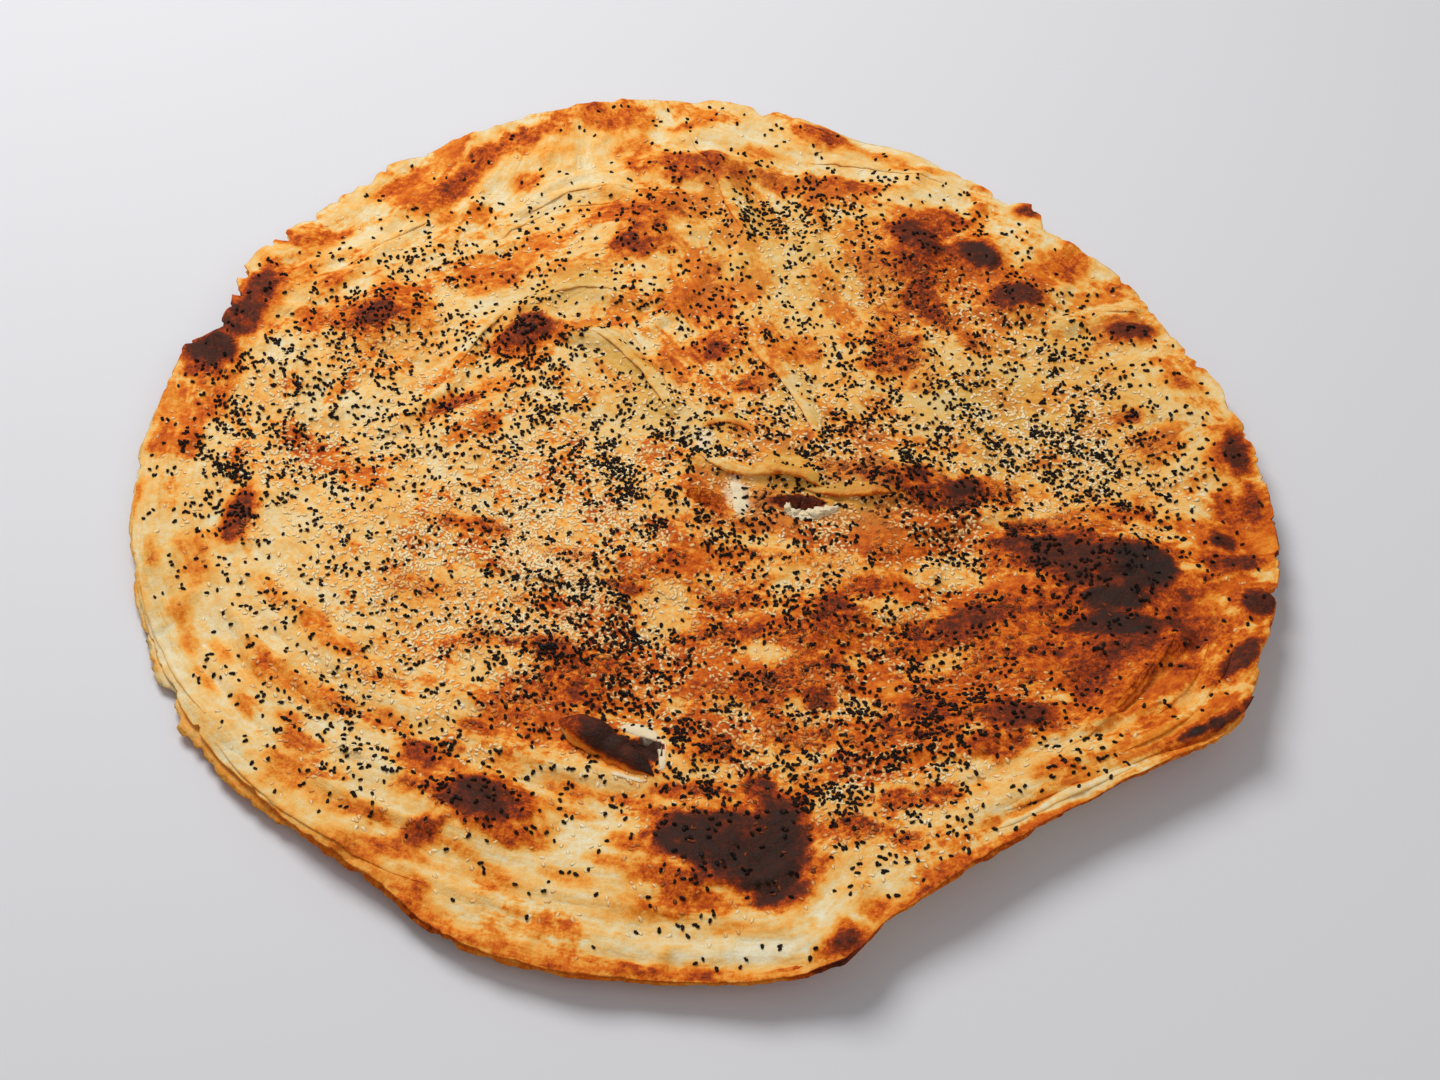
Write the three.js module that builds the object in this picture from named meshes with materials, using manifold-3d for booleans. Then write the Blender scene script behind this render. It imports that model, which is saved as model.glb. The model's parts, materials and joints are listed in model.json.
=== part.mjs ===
// A large, thin, layered flatbread from a hot oven, strewn with nigella and sesame seeds.
// Millimetres, +Z up. It lies on the flat middle of its underside, and its rim lifts a little.

import * as THREE from "three";
import { mergeVertices } from "three/addons/utils/BufferGeometryUtils.js";
import Module from "manifold-3d";

const wasm = await Module();
wasm.setup();

// The rim: [turn in degrees from +X, how far it reaches from the middle]. The front right is
// flattened between two corners, at 283 and 326 degrees.
const RIM = [
  [0, 262], [10, 257], [20, 250], [30, 251], [40, 244], [52, 247], [66, 256], [73, 258], [84, 268],
  [96, 273], [112, 272], [126, 270], [140, 264], [150, 260], [163, 257], [182, 257], [203, 254],
  [226, 253], [240, 254], [252, 266], [268, 268], [283, 270], [289, 256], [299, 248], [307, 248],
  [317, 258], [326, 274], [335, 271], [348, 268],
];
// Bites, steps and flakes of the rim: [turn, half width in degrees, how far it goes in (-) or out].
const RIM_MARKS = [
  [156.5, 4.5, -10], [159.5, 1.2, -6], [162.5, 1.5, 3], [42, 1.5, -3], [45.5, 2, 6], [49.5, 1.5, -2],
  [109, 1.5, 3], [126, 2, 3], [130, 1.3, -5], [82, 1, -6], [8, 1.5, -2], [16, 1.5, -2], [287, 2, -1],
];
// Shifts the outline so that its box is centred on the origin.
const MIDDLE = [2.62, 1.41];

// Thickness in the middle and at the rim.
const THICK_MIDDLE = 8.5;
const THICK_RIM = 5.5;
// The underside is flat out to FLAT_REACH. Beyond it the rim lifts, fully at LIFT_REACH.
const FLAT_REACH = 140;
const LIFT_REACH = 275;
// Stretches of rim that lift: [turn, height, half width in degrees].
const LIFTS = [
  [305, 20, 42], [158, 9, 26], [60, 4, 30], [235, 4, 30], [0, 5, 30],
];

// The top's long waves: [height, wave length, direction in degrees, shift in radians].
const WAVES = [
  [1.3, 210, 20, 0.4], [1.1, 150, 100, 2.1], [0.8, 95, 150, 1.0], [0.6, 62, 65, 4.0], [0.5, 47, 5, 2.6],
];
// Blisters: [x, y, half length, half width, turn in degrees, height].
const BLISTERS = [
  [8, -208, 50, 36, 10, 5.5], [182, -62, 62, 36, -15, 6.5], [188, -105, 34, 17, 15, 4],
  [-85, -190, 36, 24, -15, 4], [-82, 97, 24, 16, 60, 4.5], [-155, 100, 34, 24, 20, 3.5],
  [-224, 100, 36, 18, 78, 3.5], [112, 148, 32, 24, -40, 4.5], [146, 146, 24, 16, -50, 4.5],
  [162, 114, 26, 20, 0, 4], [212, 90, 20, 14, -10, 3], [-25, 165, 42, 28, 0, 3.5],
  [0, 216, 50, 20, -5, 3], [-142, 192, 42, 22, 32, 2.5], [102, 84, 36, 28, -50, 2.5],
  [116, -8, 52, 22, -5, 3], [-60, -106, 52, 22, -15, 2.5], [-18, -60, 36, 18, -15, 3],
  [122, -150, 32, 22, 0, 3], [126, -92, 30, 20, 20, 3], [-205, -28, 24, 16, 80, 2.5],
  [-176, -120, 46, 20, -30, 2.5], [70, 240, 30, 14, -30, 2.5], [250, -8, 26, 14, 90, 2],
  [248, -86, 18, 14, 0, 2.5], [240, -118, 20, 12, 35, 2.5], [60, -253, 18, 13, 30, 3],
  [12, 80, 22, 16, 0, 2.5], [65, -85, 26, 18, 0, 2.5], [-110, 32, 34, 16, 40, 2.5],
];
// Folds of the dough, each a ridge: its height, its half width and the points that it follows.
const FOLDS = [
  { high: 3, wide: 6, path: [[-140, 30], [-118, 60], [-108, 85], [-95, 105], [-60, 122], [-28, 112]] },
  { high: 2.5, wide: 6, path: [[-100, 172], [-75, 194], [-40, 199]] },
  { high: 3.5, wide: 6, path: [[-62, 90], [-40, 86], [-20, 62], [-10, 40]] },
  { high: 2, wide: 6, path: [[3, 245], [15, 215], [25, 165], [22, 140]] },
  { high: 2.5, wide: 6, path: [[35, 85], [55, 45], [58, 15]] },
  { high: 5, wide: 6, path: [[6, 5], [28, 0], [46, -4], [66, -10], [88, -18]] },
  { high: 2.5, wide: 6, path: [[100, -35], [130, -28], [165, -25]] },
  { high: 3, wide: 7, path: [[120, -195], [160, -172], [236, -143]] },
  { high: 3, wide: 6, path: [[170, -150], [190, -125], [222, -98]] },
  { high: 2.5, wide: 7, path: [[-240, -60], [-215, -120], [-175, -175], [-140, -205]] },
  { high: 2, wide: 6, path: [[-165, -95], [-135, -128], [-100, -140]] },
  { high: 2.5, wide: 6, path: [[-100, -150], [-50, -168], [-20, -172]] },
  { high: 2.5, wide: 6, path: [[180, 95], [215, 104]] },
];
// The tube blister near the front, a ridge that has burst at its right end.
const TUBE = { high: 8, wide: 8.5, path: [[-50, -147], [-18, -167]] };

// Openings torn through the top layer: two in the middle, down to the lower layer, and the burst
// end of the tube blister.
const OPENINGS = [
  { x: 8, y: -19, halfLength: 11, halfWidth: 7, turn: -35, floor: 3 },
  { x: 50, y: -21, halfLength: 11, halfWidth: 5, turn: -5, floor: 3 },
  { x: -14, y: -160, halfLength: 7.5, halfWidth: 4.5, turn: -20, floor: 5 },
];
// Torn crumb that stands in and beside the openings: [x, y, height of its middle, radius].
const CRUMBS = [
  [23, -19, 7.5, 4.5], [21, -10, 8.5, 4], [46, -28, 7, 3.5], [56, -28, 7.5, 4], [63, -25, 7, 3],
  [-5, -162, 10, 3], [-7, -171, 9.5, 3],
];

// The rim's side, from the top edge down: [mm outwards, share of the thickness above the underside].
// The top layer and the lower layer part in a groove.
const RIM_SIDE = [
  [-0.6, 0.86], [-3.2, 0.58], [-3, 0.46], [1.2, 0.34], [0.6, 0.1],
];
// Where the lower layer sticks out past the upper one: [turn, half width in degrees, mm].
const LOWER_LIPS = [
  [214, 13, 5], [330, 8, 3], [185, 16, 1.5], [250, 8, 1],
];
// The underside's loops: [share of the way out, points].
const TOP_RINGS = 24;
const UNDER_LOOPS = [
  [0.965, 6 * TOP_RINGS], [0.86, 3 * TOP_RINGS], [0.72, 3 * TOP_RINGS], [0.52, 36], [0.26, 18], [0, 1],
];

// Seeds: [half length, half width, half height]. They sink into the crust by SUNK of their height.
const NIGELLA = { size: [1.45, 0.9, 0.75], sides: 5, rows: 2, count: 104 };
const SESAME = { size: [1.65, 1, 0.55], sides: 5, rows: 2, count: 34 };
const SUNK = 0.3;
const SEED_GAP = 12;
// Where nigella lies thickest: [x, y, radius, weight].
const NIGELLA_SPOTS = [
  [-40, 5, 42, 1], [-55, -95, 45, 1], [100, -130, 45, 1.2], [45, -175, 45, 0.6], [60, 180, 30, 0.5],
  [150, 30, 70, 0.55], [-205, 15, 45, 0.5], [30, -60, 120, 0.3], [-60, 60, 60, 0.35],
];
const SESAME_SPOTS = [
  [-75, -20, 90, 1], [150, 30, 70, 0.7], [50, 0, 70, 0.5], [-150, 60, 50, 0.4],
];
// No seeds lie past BARE_REACH from the middle, nor within TORN_REACH of an opening.
const BARE_REACH = 245;
const TORN_REACH = 18;

const radians = (degrees) => (degrees * Math.PI) / 180;

// Repeatable random numbers from 0 to 1.
function randomFrom(seed) {
  let state = seed;
  return () => {
    state = (Math.imul(state, 1664525) + 1013904223) >>> 0;
    return state / 4294967296;
  };
}

function smoothstep(low, high, value) {
  const share = Math.min(1, Math.max(0, (value - low) / (high - low)));
  return share * share * (3 - 2 * share);
}

// The smallest turn between two directions, in degrees.
function turnBetween(a, b) {
  return Math.abs(((((a - b) % 360) + 540) % 360) - 180);
}

// A bump along the rim: 1 at its turn, fading over its half width.
function alongRim(turn, at, halfWidth) {
  return Math.exp(-((turnBetween(turn, at) / halfWidth) ** 2));
}

// How far the rim reaches in a direction: a smooth curve through the points of RIM, with its marks.
function rimReach(turn) {
  const count = RIM.length;
  const here = ((turn % 360) + 360) % 360;
  let i = RIM.findLastIndex(([at]) => at <= here);
  const [before, from, to, after] = [-1, 0, 1, 2].map((step) => {
    const [at, reach] = RIM[(i + step + count) % count];
    return [at + 360 * Math.floor((i + step) / count), reach];
  });
  const share = (here - from[0]) / (to[0] - from[0]);
  const slopeFrom = ((to[1] - before[1]) / (to[0] - before[0])) * (to[0] - from[0]);
  const slopeTo = ((after[1] - from[1]) / (after[0] - from[0])) * (to[0] - from[0]);
  const rise = to[1] - from[1];
  let reach = from[1] + slopeFrom * share;
  reach += (3 * rise - 2 * slopeFrom - slopeTo) * share ** 2;
  reach += (slopeFrom + slopeTo - 2 * rise) * share ** 3;
  for (const [at, halfWidth, out] of RIM_MARKS) reach += out * alongRim(here, at, halfWidth);
  return reach;
}

// The underside: flat in the middle, lifting towards parts of the rim.
function underside(x, y) {
  const turn = THREE.MathUtils.radToDeg(Math.atan2(y, x));
  let lift = 0;
  for (const [at, high, halfWidth] of LIFTS) lift += high * alongRim(turn, at, halfWidth);
  return lift * smoothstep(FLAT_REACH, LIFT_REACH, Math.hypot(x, y));
}

// Distance from a point to a path of straight pieces.
function distanceTo(path, x, y) {
  let least = Infinity;
  for (let i = 1; i < path.length; i++) {
    const [ax, ay] = path[i - 1];
    const [dx, dy] = [path[i][0] - ax, path[i][1] - ay];
    const share = ((x - ax) * dx + (y - ay) * dy) / (dx * dx + dy * dy);
    const along = Math.min(1, Math.max(0, share));
    least = Math.min(least, Math.hypot(x - ax - along * dx, y - ay - along * dy));
  }
  return least;
}

function ridge(fold, x, y) {
  return fold.high * Math.exp(-((distanceTo(fold.path, x, y) / fold.wide) ** 2));
}

function dome([cx, cy, halfLength, halfWidth, turn, high], x, y) {
  const c = Math.cos(radians(turn));
  const s = Math.sin(radians(turn));
  const along = ((x - cx) * c + (y - cy) * s) / halfLength;
  const across = ((y - cy) * c - (x - cx) * s) / halfWidth;
  const inside = Math.max(0, 1 - along * along - across * across);
  return high * inside ** 1.5;
}

function wave([high, length, direction, shift], x, y) {
  const along = x * Math.cos(radians(direction)) + y * Math.sin(radians(direction));
  return high * Math.sin((2 * Math.PI * along) / length + shift);
}

// The thickness of the plain bread at a share of the way from the middle to the rim.
function thickness(share) {
  return THICK_MIDDLE + (THICK_RIM - THICK_MIDDLE) * smoothstep(0.2, 1, share);
}

// The top: the underside, the thickness, long waves, blisters and folds.
function top(x, y) {
  const turn = THREE.MathUtils.radToDeg(Math.atan2(y, x));
  const share = Math.hypot(x, y) / rimReach(turn);
  let z = underside(x, y) + thickness(share);
  for (const each of WAVES) z += wave(each, x, y);
  for (const each of BLISTERS) z += dome(each, x, y);
  for (const each of FOLDS) z += ridge(each, x, y);
  return z + ridge(TUBE, x, y);
}

// Joins two closed loops of point numbers by a band of triangles. A loop may be a single point.
function addBand(faces, outer, inner) {
  const n = outer.length;
  const m = inner.length;
  const outerSteps = n > 1 ? n : 0;
  const innerSteps = m > 1 ? m : 0;
  let a = 0;
  let b = 0;
  while (a < outerSteps || b < innerSteps) {
    const outerNext = b >= innerSteps || (a < outerSteps && (a + 1) * m <= (b + 1) * n);
    if (outerNext) {
      faces.push(outer[a % n], outer[(a + 1) % n], inner[b % m]);
      a += 1;
    } else {
      faces.push(inner[b % m], outer[a % n], inner[(b + 1) % m]);
      b += 1;
    }
  }
}

// The bread as a chain of loops: out over the top, down the rim's side and in along the underside.
function breadGeometry() {
  const points = [];
  const loops = [];
  const addLoop = (count, place) => {
    const loop = [];
    for (let i = 0; i < count; i++) {
      loop.push(points.length / 3);
      points.push(...place((360 * i) / count));
    }
    loops.push(loop);
  };
  const spot = (turn, reach) => [
    reach * Math.cos(radians(turn)),
    reach * Math.sin(radians(turn)),
  ];
  for (let ring = 0; ring <= TOP_RINGS; ring++) {
    addLoop(Math.max(1, 6 * ring), (turn) => {
      const [x, y] = spot(turn, (rimReach(turn) * ring) / TOP_RINGS);
      return [x, y, top(x, y)];
    });
  }
  for (const [out, level] of RIM_SIDE) {
    addLoop(6 * TOP_RINGS, (turn) => {
      const [x, y] = spot(turn, rimReach(turn));
      const low = underside(x, y);
      let reach = rimReach(turn) + out;
      if (out > 0) {
        for (const [at, halfWidth, more] of LOWER_LIPS) reach += more * alongRim(turn, at, halfWidth);
      }
      return [...spot(turn, reach), low + level * (top(x, y) - low)];
    });
  }
  for (const [share, count] of UNDER_LOOPS) {
    addLoop(count, (turn) => {
      const [x, y] = spot(turn, rimReach(turn) * share);
      return [x, y, underside(x, y)];
    });
  }
  const faces = [];
  for (let i = 1; i < loops.length; i++) addBand(faces, loops[i], loops[i - 1]);
  const geometry = new THREE.BufferGeometry();
  geometry.setAttribute("position", new THREE.Float32BufferAttribute(points, 3));
  geometry.setIndex(faces);
  return geometry;
}

// A closed geometry as a solid for joining and cutting.
function toSolid(geometry) {
  const bare = geometry.clone();
  bare.deleteAttribute("normal");
  bare.deleteAttribute("uv");
  const merged = mergeVertices(bare, 1e-4);
  const vertProperties = new Float32Array(merged.attributes.position.array);
  const triVerts = new Uint32Array(merged.index.array);
  return new wasm.Manifold(new wasm.Mesh({ numProp: 3, vertProperties, triVerts }));
}

function toGeometry(solid) {
  const mesh = solid.getMesh();
  const geometry = new THREE.BufferGeometry();
  geometry.setAttribute("position", new THREE.BufferAttribute(mesh.vertProperties, 3));
  geometry.setIndex(new THREE.BufferAttribute(mesh.triVerts, 1));
  return geometry;
}

// A hole through the top layer, with a ragged rounded outline.
function openingSolid({ x, y, halfLength, halfWidth, turn, floor }) {
  const ragged = [1, 0.86, 1.05, 0.9, 1, 0.84, 1.08, 0.92, 1.02, 0.88];
  const outline = ragged.map((part, i) => {
    const angle = (2 * Math.PI * i) / ragged.length;
    return new THREE.Vector2(halfLength * part * Math.cos(angle), halfWidth * part * Math.sin(angle));
  });
  const depth = 30;
  const hole = new THREE.ExtrudeGeometry(new THREE.Shape(outline), { depth, bevelEnabled: false });
  hole.rotateZ(radians(turn)).translate(x, y, floor);
  return toSolid(hole);
}

// A seed as a drop with a blunt and a pointed end, lying along X, `rows` rings of points long.
function seedGeometry({ size: [length, width, height], sides, rows }) {
  const profile = [new THREE.Vector2(0, -1)];
  for (let i = 1; i <= rows; i++) {
    const along = -1 + (2 * i) / (rows + 1);
    profile.push(new THREE.Vector2(Math.sqrt(1 - along * along) * (1 - 0.18 * along), along));
  }
  profile.push(new THREE.Vector2(0, 1));
  const seed = new THREE.LatheGeometry(profile, sides);
  return seed.rotateZ(-Math.PI / 2).scale(length, width, height);
}

// How thickly seeds lie at a point, from 0 to about 1.
function thickly(spots, x, y) {
  let sum = 0.12;
  for (const [cx, cy, radius, weight] of spots) {
    sum += weight * Math.exp(-(((x - cx) ** 2 + (y - cy) ** 2) / radius ** 2));
  }
  return sum * (1 - smoothstep(BARE_REACH - 60, BARE_REACH, Math.hypot(x, y)));
}

// True over an opening or the torn crumb beside it, where no seed lies.
function isTorn(x, y) {
  return OPENINGS.some((opening) => Math.hypot(x - opening.x, y - opening.y) < TORN_REACH);
}

// Seeds of one kind, each turned at random and laid against the slope of the crust.
// The space between them is wider where the real seeds lie thinly.
function addSeeds(bread, surface, kind, spots, taken, random) {
  const down = new THREE.Vector3(0, 0, -1);
  const up = new THREE.Vector3(0, 0, 1);
  const ray = new THREE.Raycaster();
  const shape = seedGeometry(kind);
  let placed = 0;
  let whole = bread;
  for (let tries = 0; tries < 40000 && placed < kind.count; tries++) {
    const x = (2 * random() - 1) * BARE_REACH;
    const y = (2 * random() - 1) * BARE_REACH;
    const thick = thickly(spots, x, y);
    if (random() > thick || isTorn(x, y)) continue;
    const gap = SEED_GAP / Math.sqrt(Math.min(1, thick + 0.2));
    if (taken.some(([tx, ty]) => Math.hypot(tx - x, ty - y) < gap)) continue;
    ray.set(new THREE.Vector3(x, y, 100), down);
    const [hit] = ray.intersectObject(surface);
    if (!hit) continue;
    taken.push([x, y]);
    const lift = kind.size[2] * (1 - 2 * SUNK);
    const seed = shape.clone().rotateZ(2 * Math.PI * random());
    seed.applyQuaternion(new THREE.Quaternion().setFromUnitVectors(up, hit.face.normal));
    seed.translate(x, y, hit.point.z + lift);
    whole = whole.add(toSolid(seed));
    placed += 1;
  }
  return whole;
}

// The whole bread: the layered disc, its openings, torn crumb and seeds.
function makeFlatbread() {
  const disc = breadGeometry();
  let bread = toSolid(disc);
  for (const opening of OPENINGS) bread = bread.subtract(openingSolid(opening));
  for (const [x, y, z, radius] of CRUMBS) {
    bread = bread.add(toSolid(new THREE.IcosahedronGeometry(radius, 0).translate(x, y, z)));
  }
  const surface = new THREE.Mesh(disc);
  const random = randomFrom(7);
  const taken = [];
  bread = addSeeds(bread, surface, NIGELLA, NIGELLA_SPOTS, taken, random);
  bread = addSeeds(bread, surface, SESAME, SESAME_SPOTS, taken, random);
  const geometry = toGeometry(bread);
  geometry.translate(-MIDDLE[0], -MIDDLE[1], 0);
  return geometry;
}

const crust = new THREE.MeshStandardMaterial({ color: 0xd9a25c, roughness: 0.7, metalness: 0 });
const flatbread = new THREE.Mesh(makeFlatbread(), crust);
flatbread.name = "flatbread";

const part = new THREE.Group();
part.add(flatbread);
export default part;
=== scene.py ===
# %% [markdown]
# A huge, thin, layered flatbread. In a hot oven steam lifts the dough into blisters, which brown
# first, and seeds are strewn on before baking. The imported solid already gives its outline, folds
# and blisters. Here the same shape is built again with a far finer mesh, so that the crust can
# carry small wrinkles, flaky edges, scorch marks and thousands of seeds.

import json
import math

import bmesh
import bpy
import numpy as np
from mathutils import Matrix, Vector

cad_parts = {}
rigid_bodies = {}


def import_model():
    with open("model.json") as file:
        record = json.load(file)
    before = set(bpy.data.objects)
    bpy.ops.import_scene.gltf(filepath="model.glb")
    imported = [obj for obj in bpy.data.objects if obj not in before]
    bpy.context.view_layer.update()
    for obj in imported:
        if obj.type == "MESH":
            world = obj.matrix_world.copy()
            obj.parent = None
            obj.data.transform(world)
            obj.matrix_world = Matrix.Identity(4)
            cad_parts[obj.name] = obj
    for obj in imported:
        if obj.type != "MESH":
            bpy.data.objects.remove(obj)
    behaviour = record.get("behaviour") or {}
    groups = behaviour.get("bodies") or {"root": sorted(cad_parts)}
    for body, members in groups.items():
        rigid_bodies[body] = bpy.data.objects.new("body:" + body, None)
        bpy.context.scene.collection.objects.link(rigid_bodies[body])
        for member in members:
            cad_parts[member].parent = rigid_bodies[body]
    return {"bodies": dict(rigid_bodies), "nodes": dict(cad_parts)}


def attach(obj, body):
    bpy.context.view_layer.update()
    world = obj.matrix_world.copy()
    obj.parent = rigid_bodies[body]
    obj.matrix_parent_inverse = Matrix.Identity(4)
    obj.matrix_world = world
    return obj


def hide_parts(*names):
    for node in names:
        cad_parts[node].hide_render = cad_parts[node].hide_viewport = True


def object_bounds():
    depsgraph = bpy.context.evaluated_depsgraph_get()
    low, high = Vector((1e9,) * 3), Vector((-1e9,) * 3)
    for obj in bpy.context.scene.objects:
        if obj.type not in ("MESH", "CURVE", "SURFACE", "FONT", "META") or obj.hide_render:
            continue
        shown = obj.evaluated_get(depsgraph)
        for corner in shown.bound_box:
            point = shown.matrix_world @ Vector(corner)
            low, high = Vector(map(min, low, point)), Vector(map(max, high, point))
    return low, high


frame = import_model()
cad_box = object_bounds()
body = next(iter(frame["bodies"]))
print("body", body, "nodes", list(frame["nodes"]))

# %% [markdown]
# Shapes are worked out here in millimetres and turned into metres only when a mesh is made,
# because every number then has the size that a ruler on the bread would show. The helpers below
# work on whole numpy arrays at once, which keeps a mesh of many thousand points quick to shape.

# %% Helpers for curves and noise
MM = 0.001
LATTICE = 256
LATTICE_TURN = (0.8, 0.6)
LATTICE_SHIFT = (71.3, 37.9)


def smoothstep(low, high, value):
    """0 below low, 1 above high, and a smooth rise between them."""
    share = np.clip((value - low) / (high - low), 0, 1)
    return share * share * (3 - 2 * share)


def noise(x, y, cell, seed):
    """Smooth random heights from -1 to 1, with bumps about one cell across.

    The lattice is turned, so that its rows don't line up with the middle lines of the bread.
    """
    lattice = np.random.default_rng(seed).uniform(-1, 1, (LATTICE, LATTICE))
    c, s = LATTICE_TURN
    turned_x = (c * x - s * y) / cell + LATTICE_SHIFT[0]
    turned_y = (s * x + c * y) / cell + LATTICE_SHIFT[1]
    i = np.floor(turned_x).astype(int)
    j = np.floor(turned_y).astype(int)
    a = smoothstep(0, 1, turned_x - i)
    b = smoothstep(0, 1, turned_y - j)

    def row(k):
        left = lattice[i % LATTICE, (j + k) % LATTICE]
        right = lattice[(i + 1) % LATTICE, (j + k) % LATTICE]
        return left * (1 - a) + right * a

    return row(0) * (1 - b) + row(1) * b


def rough(x, y, cell, seed, octaves=3):
    """Noise with finer and weaker noise on top of it."""
    total = 0
    for k in range(octaves):
        total = total + noise(x, y, cell / 2**k, seed + k) / 2**k
    return total


def along_rim(turn, at, half_width):
    """A bump along the rim: 1 at its turn, fading over its half width, in degrees."""
    apart = np.abs((turn - at + 180) % 360 - 180)
    return np.exp(-((apart / half_width) ** 2))


def rim_marks(marks, turn, start=0):
    """The start plus a bump for each mark: its turn, its half width and its height."""
    total = start
    for at, half_width, high in marks:
        total = total + high * along_rim(turn, at, half_width)
    return total


def heaped(spots, x, y, start):
    """The start plus a soft heap for each spot: x, y, its reach and its weight."""
    total = start
    for cx, cy, reach, weight in spots:
        total = total + weight * np.exp(-((x - cx) ** 2 + (y - cy) ** 2) / reach**2)
    return total


def nearness(x, y, cx, cy, reach):
    """How much a place counts at a point, when values of many places are blended."""
    return 1 / ((x - cx) ** 2 + (y - cy) ** 2 + reach**2) ** 1.5


def inside_ellipse(x, y, cx, cy, half_length, half_width, turn):
    """Distance from a turned ellipse's middle: 0 there and 1 on its edge."""
    c = math.cos(math.radians(turn))
    s = math.sin(math.radians(turn))
    along = ((x - cx) * c + (y - cy) * s) / half_length
    across = ((y - cy) * c - (x - cx) * s) / half_width
    return np.hypot(along, across)


sample = np.linspace(-200, 200, 201)
heights = noise(sample, sample, cell=9, seed=1)
print("noise runs from", heights.min().round(2), "to", heights.max().round(2))

# %% [markdown]
# The outline repeats the numbers of the solid: how far the rim reaches at a few turns, with a
# smooth curve between them, and small marks for its bites, steps and loose flakes. RIM holds
# turns in degrees with reaches, and RIM_MARKS holds turns, half widths and how far each mark goes
# out. MIDDLE is the middle of the outline's box, which is moved to the origin later on.

# %% The outline
RIM = [
    (0, 262), (10, 257), (20, 250), (30, 251), (40, 244), (52, 247), (66, 256), (73, 258), (84, 268),
    (96, 273), (112, 272), (126, 270), (140, 264), (150, 260), (163, 257), (182, 257), (203, 254),
    (226, 253), (240, 254), (252, 266), (268, 268), (283, 270), (289, 256), (299, 248), (307, 248),
    (317, 258), (326, 274), (335, 271), (348, 268),
]
RIM_MARKS = [
    (156.5, 4.5, -10), (159.5, 1.2, -6), (162.5, 1.5, 3), (42, 1.5, -3), (45.5, 2, 6), (49.5, 1.5, -2),
    (109, 1.5, 3), (126, 2, 3), (130, 1.3, -5), (82, 1, -6), (8, 1.5, -2), (16, 1.5, -2), (287, 2, -1),
]
MIDDLE = (2.62, 1.41)


def rim_reach(turn):
    """How far the rim reaches in a direction given in degrees."""
    turn = np.asarray(turn, float) % 360
    turns = np.array([at for at, reach in RIM], float)
    reaches = np.array([reach for at, reach in RIM], float)
    count = len(RIM)
    i = np.searchsorted(turns, turn, side="right") - 1

    def entry(step):
        k = i + step
        return turns[k % count] + 360 * (k // count), reaches[k % count]

    (t0, r0), (t1, r1), (t2, r2), (t3, r3) = entry(-1), entry(0), entry(1), entry(2)
    share = (turn - t1) / (t2 - t1)
    slope1 = (r2 - r0) / (t2 - t0) * (t2 - t1)
    slope2 = (r3 - r1) / (t3 - t1) * (t2 - t1)
    rise = r2 - r1
    reach = r1 + slope1 * share
    reach = reach + (3 * rise - 2 * slope1 - slope2) * share**2
    reach = reach + (slope1 + slope2 - 2 * rise) * share**3
    return rim_marks(RIM_MARKS, turn, reach)


round_trip = np.arange(360)
print("the rim reaches from", rim_reach(round_trip).min().round(), "to",
      rim_reach(round_trip).max().round(), "mm")

# %% [markdown]
# The main form comes next, with the solid's numbers again: a flat middle, a rim that lifts most
# at the front right, long waves and domed blisters. LIFTS holds turns, heights and half widths,
# WAVES holds heights, lengths, directions and shifts, and BLISTERS holds ellipses with heights.

# %% The main form
THICK_MIDDLE = 8.5
THICK_RIM = 5.5
THIN_FROM = 0.2
FLAT_REACH = 140
LIFT_REACH = 275
LIFTS = [(305, 20, 42), (158, 9, 26), (60, 4, 30), (235, 4, 30), (0, 5, 30)]
WAVES = [
    (1.3, 210, 20, 0.4), (1.1, 150, 100, 2.1), (0.8, 95, 150, 1.0), (0.6, 62, 65, 4.0),
    (0.5, 47, 5, 2.6),
]
BLISTERS = [
    (8, -208, 50, 36, 10, 5.5), (182, -62, 62, 36, -15, 6.5), (188, -105, 34, 17, 15, 4),
    (-85, -190, 36, 24, -15, 4), (-82, 97, 24, 16, 60, 4.5), (-155, 100, 34, 24, 20, 3.5),
    (-224, 100, 36, 18, 78, 3.5), (112, 148, 32, 24, -40, 4.5), (146, 146, 24, 16, -50, 4.5),
    (162, 114, 26, 20, 0, 4), (212, 90, 20, 14, -10, 3), (-25, 165, 42, 28, 0, 3.5),
    (0, 216, 50, 20, -5, 3), (-142, 192, 42, 22, 32, 2.5), (102, 84, 36, 28, -50, 2.5),
    (116, -8, 52, 22, -5, 3), (-60, -106, 52, 22, -15, 2.5), (-18, -60, 36, 18, -15, 3),
    (122, -150, 32, 22, 0, 3), (126, -92, 30, 20, 20, 3), (-205, -28, 24, 16, 80, 2.5),
    (-176, -120, 46, 20, -30, 2.5), (70, 240, 30, 14, -30, 2.5), (250, -8, 26, 14, 90, 2),
    (248, -86, 18, 14, 0, 2.5), (240, -118, 20, 12, 35, 2.5), (60, -253, 18, 13, 30, 3),
    (12, 80, 22, 16, 0, 2.5), (65, -85, 26, 18, 0, 2.5), (-110, 32, 34, 16, 40, 2.5),
]


def underside(x, y):
    """Height of the underside: 0 in the middle, more where the rim lifts."""
    turn = np.degrees(np.arctan2(y, x))
    lift = sum(high * along_rim(turn, at, half_width) for at, high, half_width in LIFTS)
    return lift * smoothstep(FLAT_REACH, LIFT_REACH, np.hypot(x, y))


def plain_thickness(share):
    """Thickness without waves and blisters, at a share of the way from the middle to the rim."""
    return THICK_MIDDLE + (THICK_RIM - THICK_MIDDLE) * smoothstep(THIN_FROM, 1, share)


def waves_at(x, y):
    """Long low waves over the whole bread."""
    total = 0
    for high, length, direction, shift in WAVES:
        along = x * math.cos(math.radians(direction)) + y * math.sin(math.radians(direction))
        total = total + high * np.sin(2 * math.pi * along / length + shift)
    return total


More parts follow.
